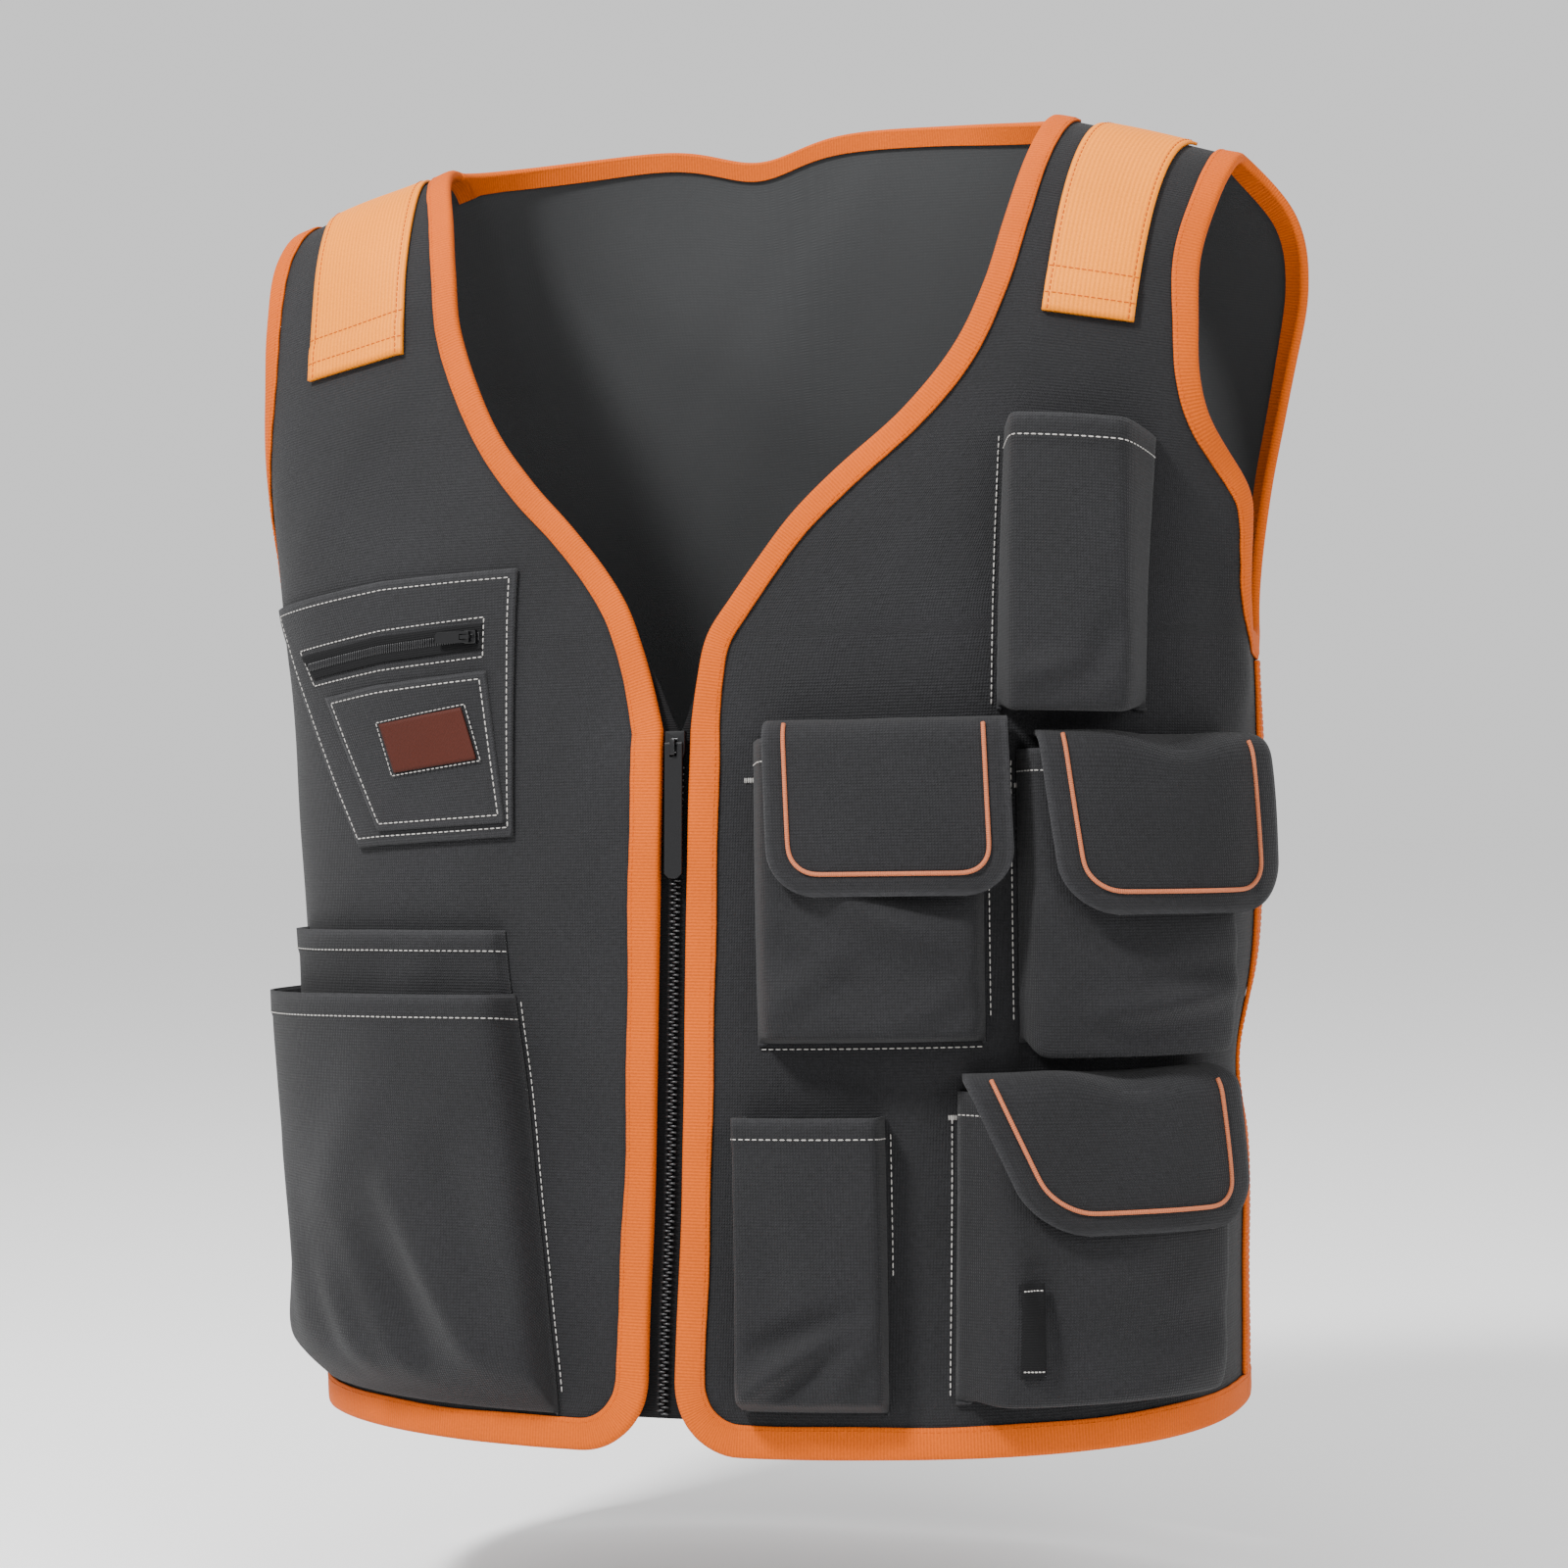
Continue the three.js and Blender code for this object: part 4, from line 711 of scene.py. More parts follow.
def ribbed(name, colour, rib, depth, roughness=0.7, mottle=0.08, direction="X"):
    """Woven tape: ribs across its length, a little uneven in dye, slightly soiled."""
    material, tree, shader = new_material(name, roughness, Sheen_Weight=0.01, Sheen_Roughness=0.4,
                                          Specular_IOR_Level=0.12)
    coordinates = add_node(tree, "ShaderNodeTexCoord")
    flat = coordinates.outputs["UV"]
    ribs = wave(tree, flat, direction, math.pi / 10 / rib, Distortion=0.4)
    yarn = noise(tree, flat, 900.0)
    soil = noise(tree, coordinates.outputs["Object"], 18.0, Detail=4.0)
    rib_tone = map_range(tree, ribs, 0.0, 1.0, 0.86, 1.05)
    tone = combine(tree, "MULTIPLY", around_one(tree, soil, mottle), rib_tone)
    tone = combine(tree, "MULTIPLY", tone, map_range(tree, yarn, 0.3, 0.7, 0.92, 1.08))
    finish_surface(tree, shader, scaled(tree, colour, tone), combine(tree, "ADD", ribs, yarn), depth)
    return material


def moulded(name, colour, roughness, metallic=0.0, grain=0.05):
    """Moulded plastic or enamelled metal: even colour with a fine grain in its gloss."""
    material, tree, shader = new_material(name, roughness, Metallic=metallic)
    coordinates = add_node(tree, "ShaderNodeTexCoord")
    fine = noise(tree, coordinates.outputs["Object"], 900.0)
    tone = around_one(tree, fine, grain * 3)
    finish_surface(tree, shader, scaled(tree, colour, tone), fine, 0.00004, strength=0.5)
    return material


def length_setting(name, description, default, smallest=0.0002):
    """A length in the add-on's panel."""
    return bpy.props.FloatProperty(name=name, description=description, default=default, min=smallest,
                                   unit="LENGTH", precision=4)


def colour_setting(name, description, code):
    """A colour in the add-on's panel."""
    return bpy.props.FloatVectorProperty(name=name, description=description, subtype="COLOR",
                                         default=linear(code))


class VestSizes(bpy.types.PropertyGroup):
    """Sizes of the fine detail."""

    piping_radius: length_setting("Piping radius", "Radius of the piping round the flaps", 0.95 * MM)
    weave_pitch: length_setting(
        "Weave pitch", "Spacing of the canvas threads, drawn twice as coarse as real", 1.3 * MM)
    rib_pitch: length_setting("Rib pitch", "Spacing of the ribs of the edge tape", 1.4 * MM)
    floor_drop: length_setting("Floor drop", "How far the floor lies below the hem", 0.1, smallest=0.0)


class VestColours(bpy.types.PropertyGroup):
    """Colours of the finishes."""

    canvas: colour_setting("Canvas", "Dark canvas", "#18181a")
    # Inner face: painted paler than the canvas, painted light standing in for light inside the vest
    lining: colour_setting("Inner face", "Smooth inner face of the canvas", "#2a2b2c")
    binding: colour_setting("Binding", "Bright edge tape", "#b95000")
    patch: colour_setting("Shoulder patch", "Bright shoulder patches", "#e27e00")
    piping: colour_setting("Piping", "Piping of the flaps", "#ae6444")
    thread: colour_setting("Thread", "Pale sewing thread", "#a9a6a2")
    tape: colour_setting("Zip tape", "Black zip tape", "#121213")
    label: colour_setting("Label", "Bare woven label", "#3e1a12")
    metal: colour_setting("Slider", "Enamelled slider and pull", "#0c0c0e")


FINISHES = {}


def make_finishes(sizes, colours):
    """All the materials, each named for what the real one is."""
    # Heavy polyester canvas in a plain weave: matt, faintly flecked where single yarns took less dye
    FINISHES["canvas"] = woven("Polyester canvas, plain weave", tuple(colours.canvas), sizes.weave_pitch,
                               0.26, 0.00035, wear=linear("#323234"), mottle=0.2)
    # The canvas's inner face: smoother, and painted paler than the canvas, painted light that lifts the shade
    # inside the vest
    FINISHES["lining"] = woven("Canvas inner face, painted paler for shade", tuple(colours.lining), sizes.weave_pitch, 0.04,
                               0.00008, roughness=0.8, sheen=0.1, mottle=0.05)
    # Folded polyester edge tape: fine ribs across it, satin
    FINISHES["binding"] = ribbed("Polyester edge tape, ribbed", tuple(colours.binding), sizes.rib_pitch,
                                 0.0002)
    # Bright coated fabric: smooth with a satin gloss
    FINISHES["patch"] = ribbed("Coated polyester, woven", tuple(colours.patch), 2.0 * MM, 0.0001,
                               roughness=0.5, mottle=0.05)
    # Corded piping: twisted yarn
    FINISHES["piping"] = ribbed("Corded piping, twisted", tuple(colours.piping), 0.9 * MM, 0.00025)
    # Spun polyester sewing thread
    FINISHES["thread"] = ribbed("Sewing thread, spun polyester", tuple(colours.thread), 0.6 * MM, 0.0001)
    FINISHES["orange_thread"] = ribbed("Sewing thread, spun polyester, orange", tuple(colours.binding),
                                       0.6 * MM, 0.0001)
    # Knitted zip tape: a soft rib along its length
    FINISHES["tape"] = ribbed("Zip tape, knitted polyester", tuple(colours.tape), 1.1 * MM, 0.0002,
                              roughness=0.85, direction="Y")
    # Woven label: fine damask, bare
    FINISHES["label"] = ribbed("Woven label, damask", tuple(colours.label), 0.8 * MM, 0.0001, roughness=0.6)
    # Moulded acetal teeth: dark with a soft gloss
    FINISHES["teeth"] = moulded("Acetal zip teeth, moulded", linear("#161618"), 0.35)
    # Zinc slider and pull, enamelled black
    FINISHES["metal"] = moulded("Zinc slider, enamelled", tuple(colours.metal), 0.35, metallic=0.3)


# Shell: fronts and back


def front_grid(side, out, columns=64):
    """Grid of one front: rows up the body, columns from the free edge to the side or armhole."""
    t = panel_levels()[:, None]
    inner = inner_angle(side, t)
    outer = np.where(t * HEIGHT <= ARMHOLE_BOTTOM, SIDE_SEAM_ANGLE - SEAM_GAP, armhole_angle(side, t))
    share = np.linspace(0, 1, columns)[None, :]
    return layer(SIDES[side]["sign"] * mix(inner, outer, share), t, out)


def back_grid(out, columns=156):
    """Grid of the back, from the left side seam round to the right one, with columns close at its middle."""
    t = panel_levels()[:, None]
    seam = np.where(t * HEIGHT <= ARMHOLE_BOTTOM, SIDE_SEAM_ANGLE + SEAM_GAP, armhole_angle("back", t))
    across = np.linspace(-1, 1, columns)[None, :]
    turn = np.sign(across) * across**2
    return layer(180 + (180 - seam) * turn, t, out)


def edge_wear(grid, reach=4.0):
    """Wear of 1 at the rim of a grid, fading inwards over a few millimetres."""
    across = np.cumsum(np.linalg.norm(np.diff(grid, axis=1, prepend=grid[:, :1]), axis=-1), axis=1)
    down = np.cumsum(np.linalg.norm(np.diff(grid, axis=0, prepend=grid[:1]), axis=-1), axis=0)
    near = np.minimum(np.minimum(across, across[:, -1:] - across), np.minimum(down, down[-1:] - down))
    return np.clip(1 - near / reach, 0, 1) * 0.35


class VestShell(bpy.types.Operator):
    """Makes the two fronts and the back"""

    bl_idname = "vest.shell"
    bl_label = "Fronts and back"

    def execute(self, context):
        for side in SIDES:
            outer = front_grid(side, CLOTH)
            piece = shell_piece(f"front_{side}_canvas", f"front_panel_{side}", outer, front_grid(side, 0.0),
                                FINISHES["canvas"], FINISHES["lining"])
        outer = back_grid(CLOTH)
        piece = shell_piece("back_canvas", "back_panel", outer, back_grid(0.0), FINISHES["canvas"],
                            FINISHES["lining"])
        return {"FINISHED"}


# Bindings


def inset_place(angle, rest, tangent, hint, distance, turning=True):
    """Places a distance into the cloth from an edge: Gauss and Newton steps on the angle and the height."""
    edge = shell_point(angle, 1 - rest**2)
    across = unit(np.cross(shell_normal(angle, 1 - rest**2), tangent))
    inward = np.einsum("ij,ij->i", across, hint - edge) < 0
    across[inward] *= -1
    target = edge + across * distance[:, None]
    for _ in range(8):
        miss = target - shell_point(angle, 1 - rest**2)
        du = (shell_point(angle + 0.1, 1 - rest**2) - shell_point(angle - 0.1, 1 - rest**2)) / 0.2
        low = np.maximum(rest - 0.002, 0)
        dv = (shell_point(angle, 1 - (low + 0.004) ** 2) - shell_point(angle, 1 - low**2)) / 0.004
        uu = (du * du).sum(-1) + 1e-6
        uv = (du * dv).sum(-1)
        vv = (dv * dv).sum(-1) + 1e-3
        um = (du * miss).sum(-1)
        vm = (dv * miss).sum(-1)
        det = uu * vv - uv * uv
        if turning:
            angle = angle + np.clip((vv * um - uv * vm) / det, -4, 4)
        else:
            uu, uv, det = 1, 0, vv
        rest = np.clip(rest + np.clip((uu * vm - uv * um) / det, -0.05, 0.05), 0.001, 0.9999)
    return angle, rest, across


def bind_edge(name, node, places, hints, thread, turning=True):
    """Tape folded over an edge: a flat leg, a round turn and an inner leg, carried along the edge."""
    angle, t = places
    rest = np.sqrt(np.maximum(1 - t, 0))
    path = shell_point(angle, t)
    keep = np.concatenate([[True], np.linalg.norm(np.diff(path, axis=0), axis=-1) > 1e-4])
    hint = shell_point(*hints)
    ends = [path[keep][:1], path[keep][-1:]]
    values = resample(path[keep], BINDING_STEP, angle[keep], rest[keep], hint[keep])
    first = (ends[0], angle[keep][:1], rest[keep][:1], hint[keep][:1])
    last = (ends[1], angle[keep][-1:], rest[keep][-1:], hint[keep][-1:])
    path, angle, rest, hint = (np.concatenate([a, b, c]) for a, b, c in zip(first, values, last))
    tangent = unit(np.gradient(path, axis=0))
    along = np.concatenate([[0], np.cumsum(np.linalg.norm(np.diff(path, axis=0), axis=-1))])
    width = BINDING_WIDTH + 0.35 * np.sin(along / 37) + 0.25 * np.sin(along / 11.3 + 1)
    narrowing = mix(1, UPPER_BINDING_SHARE, smooth_step(ZIP_TOP - 20, ZIP_TOP + 60, (1 - rest**2) * HEIGHT))
    width = width * (narrowing if turning else NECK_BINDING_SHARE)
    leg_angle, leg_rest, across = inset_place(angle, rest, tangent, hint, width, turning)
    if not turning:
        body = np.flatnonzero(np.abs(path[:, 0]) < NECK_TAPE_HELD * NECK_HALF_WIDTH)
        nearest = np.clip(np.arange(len(path)), body[0], body[-1])
        leg_rest = leg_rest[nearest]
        across = across[nearest]
    share = np.array([1.0, 0.985, 0.94, 0.8, 0.6, 0.4, 0.2, 0.06])
    press = np.array([0.15, 0.3, 0.5, 0.62, 0.72, 0.8, 0.85, 0.8])
    pucker = 0.12 * np.sin(along / 2.2)[:, None]

    def section(grow):
        front = CLOTH + press[None, :] + grow + pucker * (share > 0.9)
        place_angle = mix(angle[:, None], leg_angle[:, None], share[None, :])
        place_rest = mix(rest[:, None], leg_rest[:, None], share[None, :])
        outer_leg = layer(place_angle, 1 - place_rest**2, front)
        high = CLOTH + 0.7 + grow
        low = -0.6 - grow
        turn = np.linspace(80, -80, 7) * DEGREE
        middle = (high + low) / 2
        offsets = middle + (high - low) / 2 * np.sin(turn)
        reach = -(0.9 + grow) * np.cos(turn)
        edge_angle = np.repeat(angle[:, None], len(turn), axis=1)
        edge_rest = np.repeat(rest[:, None], len(turn), axis=1)
        bend = layer(edge_angle, 1 - edge_rest**2, np.broadcast_to(offsets, edge_angle.shape))
        bend = bend + across[:, None] * reach[None, :, None]
        back = np.broadcast_to(-(0.45 + grow), place_angle.shape)
        inner_leg = layer(place_angle, 1 - place_rest**2, back)[:, ::-1]
        return np.concatenate([outer_leg, bend, inner_leg], axis=1)

    outer = section(TAPE)
    swap_map(shell_piece(name, node, outer, section(0.0), FINISHES["binding"]))
    stitch_share = 1 - 1.9 / BINDING_WIDTH
    seam_angle = mix(angle, leg_angle, stitch_share)
    seam_rest = mix(rest, leg_rest, stitch_share)
    seam_t = 1 - seam_rest**2
    thread.line(layer(seam_angle, seam_t, CLOTH + 0.55 + TAPE), shell_normal(seam_angle, seam_t), lift=0.05,
                **EDGE_STITCH)


def swap_map(piece):
    """Turns a piece's map a quarter, so that its first direction runs along the tape."""
    data = piece.data.uv_layers[0].data
    uv = np.zeros(len(data) * 2, np.float32)
    data.foreach_get("uv", uv)
    data.foreach_set("uv", uv.reshape(-1, 2)[:, ::-1].ravel())


class VestBindings(bpy.types.Operator):
    """Binds the fronts, the hem, the back neck and the armholes with tape"""

    bl_idname = "vest.bindings"
    bl_label = "Edge bindings"

    def execute(self, context):
        thread = Thread("binding_stitches", FINISHES["orange_thread"], "binding")
        t = panel_levels()
        for side, facts in SIDES.items():
            sign = facts["sign"]
            hem = np.linspace(SIDE_SEAM_ANGLE - SEAM_GAP, inner_angle(side, np.array([0.0]))[0], 90)[:-1]
            edge = inner_angle(side, t)
            angle = sign * np.concatenate([hem, edge])
            level = np.concatenate([np.zeros(len(hem)), t])
            into = np.clip(t * HEIGHT / CORNER_RADIUS, 0, 1)
            hint_angle = sign * np.concatenate([hem, edge + mix(0.0, 6.0, into)])
            hint_level = np.concatenate([np.full(len(hem), 0.03), np.where(into < 1, t + 0.03, t)])
            bind_edge(f"front_{side}_binding_tape", f"front_binding_{side}", (angle, level),
                      (hint_angle, np.minimum(hint_level, 1)), thread)
            upper = t[t * HEIGHT > ARMHOLE_BOTTOM]
            down = sign * armhole_angle(side, upper)[::-1]
            back = sign * armhole_angle("back", upper)
            bottom = np.array([sign * SIDE_SEAM_ANGLE])
            angle = np.concatenate([down, bottom, back])
            level = np.concatenate([upper[::-1], [ARMHOLE_BOTTOM / HEIGHT], upper])
            drop = smooth_step(30, 0, level * HEIGHT - ARMHOLE_BOTTOM)
            away = np.concatenate([np.full(len(down), -6.0), [0.0], np.full(len(back), 6.0)])
            bind_edge(f"armhole_{side}_binding_tape", f"armhole_binding_{side}", (angle, level),
                      (angle + sign * away * (1 - drop), level - 0.03 * drop), thread)
        angle = np.linspace(SIDE_SEAM_ANGLE + SEAM_GAP, 360 - SIDE_SEAM_ANGLE - SEAM_GAP, 160)
        bind_edge("back_hem_binding_tape", "back_hem_binding", (angle, np.zeros(160)),
                  (angle, np.full(160, 0.03)), thread)
        x = NECK_HALF_WIDTH * NECK_TAPE_REACH * np.sin(np.linspace(90, -90, 301) * DEGREE)
        angle = 180 - np.sign(x) * angle_at_width(np.abs(x), np.ones(301))
        bind_edge("back_neck_binding_tape", "back_neck_binding", (angle, np.full(301, CREST_END)),
                  (angle, np.full(301, 0.97)), thread, turning=False)
        thread.make()
        return {"FINISHED"}


def seam_girth(t):
    """Distance along the cloth of the side seam, by halving."""
    low = np.zeros_like(t)
    high = np.full_like(t, 420.0)
    for _ in range(30):
        middle = (low + high) / 2
        short = angle_at_girth(middle, t) < SIDE_SEAM_ANGLE
        low = np.where(short, middle, low)
        high = np.where(short, high, middle)
    return low


class VestSeamTapes(bpy.types.Operator):
    """Lays the bright tapes down the side seams"""

    bl_idname = "vest.seam_tapes"
    bl_label = "Side seam tapes"

    def execute(self, context):
        thread = Thread("side_seam_stitches", FINISHES["orange_thread"], "binding")
        top = ARMHOLE_BOTTOM - BINDING_WIDTH * UPPER_BINDING_SHARE - 1
        height = np.linspace(BINDING_WIDTH + 0.6, top, 130)
        middle = seam_girth(height / HEIGHT)[:, None]
        across = np.linspace(-6, 6, 13)[None, :]
        crown = 0.5 * np.sqrt(np.clip(1 - (across / 6.3) ** 2, 0, 1))
        for side, facts in SIDES.items():
            girth = facts["sign"] * middle + across
            outer = on_cloth(girth, height[:, None], CLOTH + 0.7 + TAPE + crown)
            inner = on_cloth(girth, height[:, None], CLOTH + 0.3)
            swap_map(shell_piece(f"side_seam_{side}_tape", f"side_seam_tape_{side}", outer, inner,
                                 FINISHES["binding"]))
            for edge in (-4.3, 4.3):
                path, up = line_on_cloth(facts["sign"] * middle[:, 0] + edge, height, CLOTH + 1.0 + TAPE)
                thread.line(path, up, **EDGE_STITCH)
        thread.make()
        return {"FINISHED"}


# Front zip


class VestFrontZip(bpy.types.Operator):
    """Makes the zip's tapes and teeth, and finishes its slider and pull"""

    bl_idname = "vest.front_zip"
    bl_label = "Front zip"

    def execute(self, context):
        low = np.linspace(13, ZIP_TOP, 110)
        tail = np.linspace(ZIP_TOP, ZIP_TOP + ZIP_TAIL, 16)[1:]
        height = np.concatenate([low, tail])
        for side, facts in SIDES.items():
            sign = facts["sign"]
            t = height / HEIGHT
            middle = zip_line(height)
            edge_x = np.abs(shell_point(inner_angle(side, t), t)[:, 0])
            left = np.clip(1 - (height - ZIP_TOP) / ZIP_TAIL, 0, 1)
            above = height > ZIP_TOP
            start = np.where(above, sign * (edge_x - CLOSURE_HALF_GAP * left), middle + sign * 0.15)
            end = np.where(above, sign * (edge_x + 7), middle + sign * 15)
            share = np.linspace(0, 1, 14)[None, :]
            girth = mix(start[:, None], end[:, None], share)
            rib = 0.45 * np.exp(-(((share - 0.16) / 0.05) ** 2))
            outer = on_cloth(girth, height[:, None], ZIP_DEPTH + TAPE + rib)
            inner = on_cloth(girth, height[:, None], ZIP_DEPTH)
            shell_piece(f"zip_{side}_tape", f"zip_tape_{side}", outer, inner, FINISHES["tape"])
        centre = np.arange(15, ZIP_TOP - 15, TOOTH_PITCH)
        sign = np.where(np.arange(len(centre)) % 2 == 0, 1.0, -1.0)
        place, up = line_on_cloth(zip_line(centre) + sign, centre, ZIP_DEPTH + TAPE + 1.2)
        along = np.stack([sign, np.zeros_like(sign), np.zeros_like(sign)], axis=1)
        points, faces = scatter(bead_shape(3.9, 1.15, 2.0), place, along, up)
        piece = build("zip_teeth_moulded", points, faces, points[:, [0, 2]], [FINISHES["teeth"]])
        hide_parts("zip_teeth")
        for node in ("zip_slider", "zip_pull", "chest_zip_slider", "chest_zip_pull"):
            finish_metal(node)
        return {"FINISHED"}


def finish_metal(node):
    """Softens a metal piece's edges with a bevel and gives it its enamel."""
    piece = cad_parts[node]
    piece.data.materials.clear()
    piece.data.materials.append(FINISHES["metal"])
    weld = piece.modifiers.new("Weld", "WELD")
    weld.merge_threshold = 1e-5
    bevel = piece.modifiers.new("Bevel", "BEVEL")
    bevel.width = 0.35 * MM
    bevel.segments = 2
    bevel.limit_method = "ANGLE"
    bevel.angle_limit = 40 * DEGREE


# Pockets


def smooth_along(field, axis, width):
    """Running mean with bell weights along one axis; the ends stay where they are."""
    field = np.moveaxis(field, axis, 0)
    count = field.shape[0]
    reach = min(math.ceil(3 * width), count - 1)
    weights = np.exp(-0.5 * (np.arange(-reach, reach + 1) / width) ** 2)
    weights /= weights.sum()
    before = 2 * field[:1] - field[reach:0:-1]
    after = 2 * field[-1:] - field[-2:-reach - 2:-1]
    padded = np.concatenate([before, field, after])
    total = sum(w * padded[k:k + count] for k, w in enumerate(weights))
    return np.moveaxis(total, 0, axis)


def pocket_edges(spec, key, height):
    """Where a pocket's base or face begins and ends at a height."""
    low = 1 - np.clip((height - spec["bottom"]) / (spec["top"] - spec["bottom"]), 0, 1)
    return tuple(spec[key][k] + spec["low_shift"][k] * low for k in (0, 1))


def pocket_folds(name, spec, share, rise):
    """Folds of a pocket's face: ridges that fall off as a bell from a line, with a hollow beside each."""
    wide = spec["face"][1] - spec["face"][0]
    high = spec["top"] - spec["bottom"]
    total = np.zeros(np.broadcast(share, rise).shape)
    for x0, z0, x1, z1, width, depth in POCKET_FOLDS.get(name, []):
        px = (share - x0) * wide
        pz = (rise - z0) * high
        bx = (x1 - x0) * wide
        bz = (z1 - z0) * high
        s = (px * bx + pz * bz) / (bx * bx + bz * bz)
        held = np.clip(s, 0, 1)
        side = (px * bz - pz * bx) / math.hypot(bx, bz) / width
        far = np.hypot(px - bx * held, pz - bz * held) / width
        taper = 0.55 + 0.45 * np.cos(math.pi * (held - 0.4))
        hollow = 0.45 * np.exp(-((side - 1.5) ** 2) - far * far * 0.16)
        total = total + FOLD_GAIN * depth * taper * (np.exp(-far * far) - hollow)
    return total


def face_out(spec, girth, height):
    """How far a pocket's face stands out: its depth, plus a swell that is greatest in the middle."""
    low, high = pocket_edges(spec, "face", height)
    share = np.clip((girth - low) / (high - low), 0, 1)
    swell = spec["bulge"] * 4 * share * (1 - share)
    return OVER_PANEL + POCKET_CLOTH + mix(spec["depth"][0], spec["depth"][1], share) + swell


def folded_face(name, girth, height):
    """How far a pocket's face stands out where its folds rise from it."""
    spec = POCKETS[name]
    low, high = pocket_edges(spec, "face", height)
    rise = (height - spec["bottom"]) / (spec["top"] - spec["bottom"])
    folds = pocket_folds(name, spec, (girth - low) / (high - low), rise)
    return face_out(spec, girth, height) + np.maximum(folds, 0)


def pocket_fields(name):
    """Girth, height and distance out over a pocket's grid: up one wall, over the face, down the other."""
    spec = POCKETS[name]
    rise = spec["rise"]
    high = spec["top"] - spec["bottom"]
    base_rows = spec["bottom"] + np.array([0, 2, 4, 9, high])
    face_rows = spec["bottom"] + np.array([0, rise * 0.5, rise, max(rise, 0) + 9, high])
    out_rows = np.array([0, 0.5, 0.9, 1, 1])
    at = np.concatenate([np.linspace(0, 3, 22), np.linspace(3, 4, 62)[1:]])
    base_height, face_height, out_share = (
        smooth_along(np.interp(at, np.arange(5), rows), 0, 2) for rows in (base_rows, face_rows, out_rows))
    wall = np.linspace(0, 1, 11)
    up = np.concatenate([wall[:-1], np.ones(60), wall[:-1][::-1]])[None, :]
    share = np.concatenate([np.zeros(10), np.linspace(0, 1, 60), np.ones(10)])[None, :]
    base = pocket_edges(spec, "base", base_height[:, None])
    face = pocket_edges(spec, "face", face_height[:, None])
    base_girth = mix(base[0], base[1], share)
    face_girth = mix(face[0], face[1], share)
    girth = mix(base_girth, face_girth, up)
    height = mix(base_height[:, None], face_height[:, None], up)
    stand = face_out(spec, face_girth, face_height[:, None])
    flat = OVER_PANEL + POCKET_CLOTH
    foot = np.where(np.arange(len(at)) == 0, flat, OVER_PANEL)[:, None]
    out = mix(foot, mix(flat, stand, out_share[:, None]), up)
    rise_share = (face_height[:, None] - spec["bottom"]) / (spec["top"] - spec["bottom"])
    held = np.exp(-(((rise_share - 1) / 0.06) ** 2))
    folds = pocket_folds(name, spec, share, rise_share)
    girth, height, out = (smooth_along(field, 1, 2.4) for field in (girth, height, out))
    band = smooth_step(spec["top"] - 11.5, spec["top"] - 10.5, height)
    return girth, height, out + folds * up * out_share[:, None] * (1 - held) + 0.7 * band * up


def make_pocket(name, thread):
    """A pocket's wall from its fields, with a folded hem at its mouth and a row of stitches along the hem."""
    spec = POCKETS[name]
    sign = SIDES[spec["side"]]["sign"]
    girth, height, out = pocket_fields(name)
    outer = on_cloth(sign * girth, height, out)
    normals = outward_normals(outer)
    inner = outer - normals * POCKET_CLOTH
    piece = shell_piece(f"{name}_canvas", name, outer, inner, FINISHES["canvas"], wear=edge_wear(outer, 5.0))
    row = int(np.argmin(np.abs(height[:, 40] - (spec["top"] - 9))))
    thread.line(outer[row], normals[row])


def foot_seam(name, thread, column, low, high):
    """Stitches that sew a pocket's foot to the front, beside its wall, between two heights."""
    spec = POCKETS[name]
    sign = SIDES[spec["side"]]["sign"]
    height = np.linspace(low, high, 60)
    girth = pocket_edges(spec, "base", height)[column] + (2.2 if column else -2.2)
    thread.line(*line_on_cloth(sign * girth, height, CLOTH + 0.4))


def cloth_line(thread, sign, places, out, **options):
    """Stitches along straight runs between places given along the cloth and up."""
    places = np.array(places, float)
    for start, end in zip(places[:-1], places[1:]):
        count = max(int(np.linalg.norm(end - start) / 2), 3)
        run = start + (end - start) * np.linspace(0, 1, count)[:, None]
        thread.line(*line_on_cloth(sign * run[:, 0], run[:, 1], out), **options)


def bartack(thread, sign, start, end, out):
    """A short dense bar of stitches across a seam's end."""
    start = np.array(start, float)
    end = np.array(end, float)
    along = (end - start) / np.linalg.norm(end - start)
    square = np.array([-along[1], along[0]])
    count = int(np.linalg.norm(end - start) / 0.7)
    for k in range(count):
        middle = start + (end - start) * (k + 0.5) / count
        pair = np.array([middle - square * 1.1, middle + square * 1.1])
        path, up = line_on_cloth(sign * pair[:, 0], pair[:, 1], out)
        thread.line(path, up, pitch=2.2, fill=1.0, width=0.55)


# Stitches beside a pocket's wall: its edge nearer the zip (0) or farther from it (1), and two heights
FOOT_SEAMS = [
    ("phone_pocket", 0, 313, 428),
    ("flap_pocket_inner", 1, 182, 290),
    ("flap_pocket_outer", 0, 180, 290),
    ("pliers_pocket", 0, 24, 105),
    ("pliers_pocket", 1, 74, 134),
    ("lower_flap_pocket", 0, 24, 140),
    ("lower_outer_pocket", 0, 22, 190),
]


# Flaps


def flap_low(spec, height):
    """How far down a flap a height lies: 0 at its top and 1 at its bottom."""
    return np.clip((spec["top"] - height) / (spec["top"] - spec["bottom"]), 0, 1)


def flap_ripple(girth, height, low):
    """Slow waves of a flap's cloth, which grow towards its bottom."""
    return 0.5 * np.sin(girth / 9.0 + height / 31) * low


def flap_span(spec, height):
    """Where a flap begins and ends at a height, with its lower corners rounded off."""
    low = flap_low(spec, height)
    into = np.clip(spec["corner"] - (height - spec["bottom"]), 0, spec["corner"])
    round_off = spec["corner"] - np.sqrt(spec["corner"] ** 2 - into**2)
    start = mix(spec["wide"][0], spec["low"][0], low) + round_off
    return start, mix(spec["wide"][1], spec["low"][1], low) - round_off


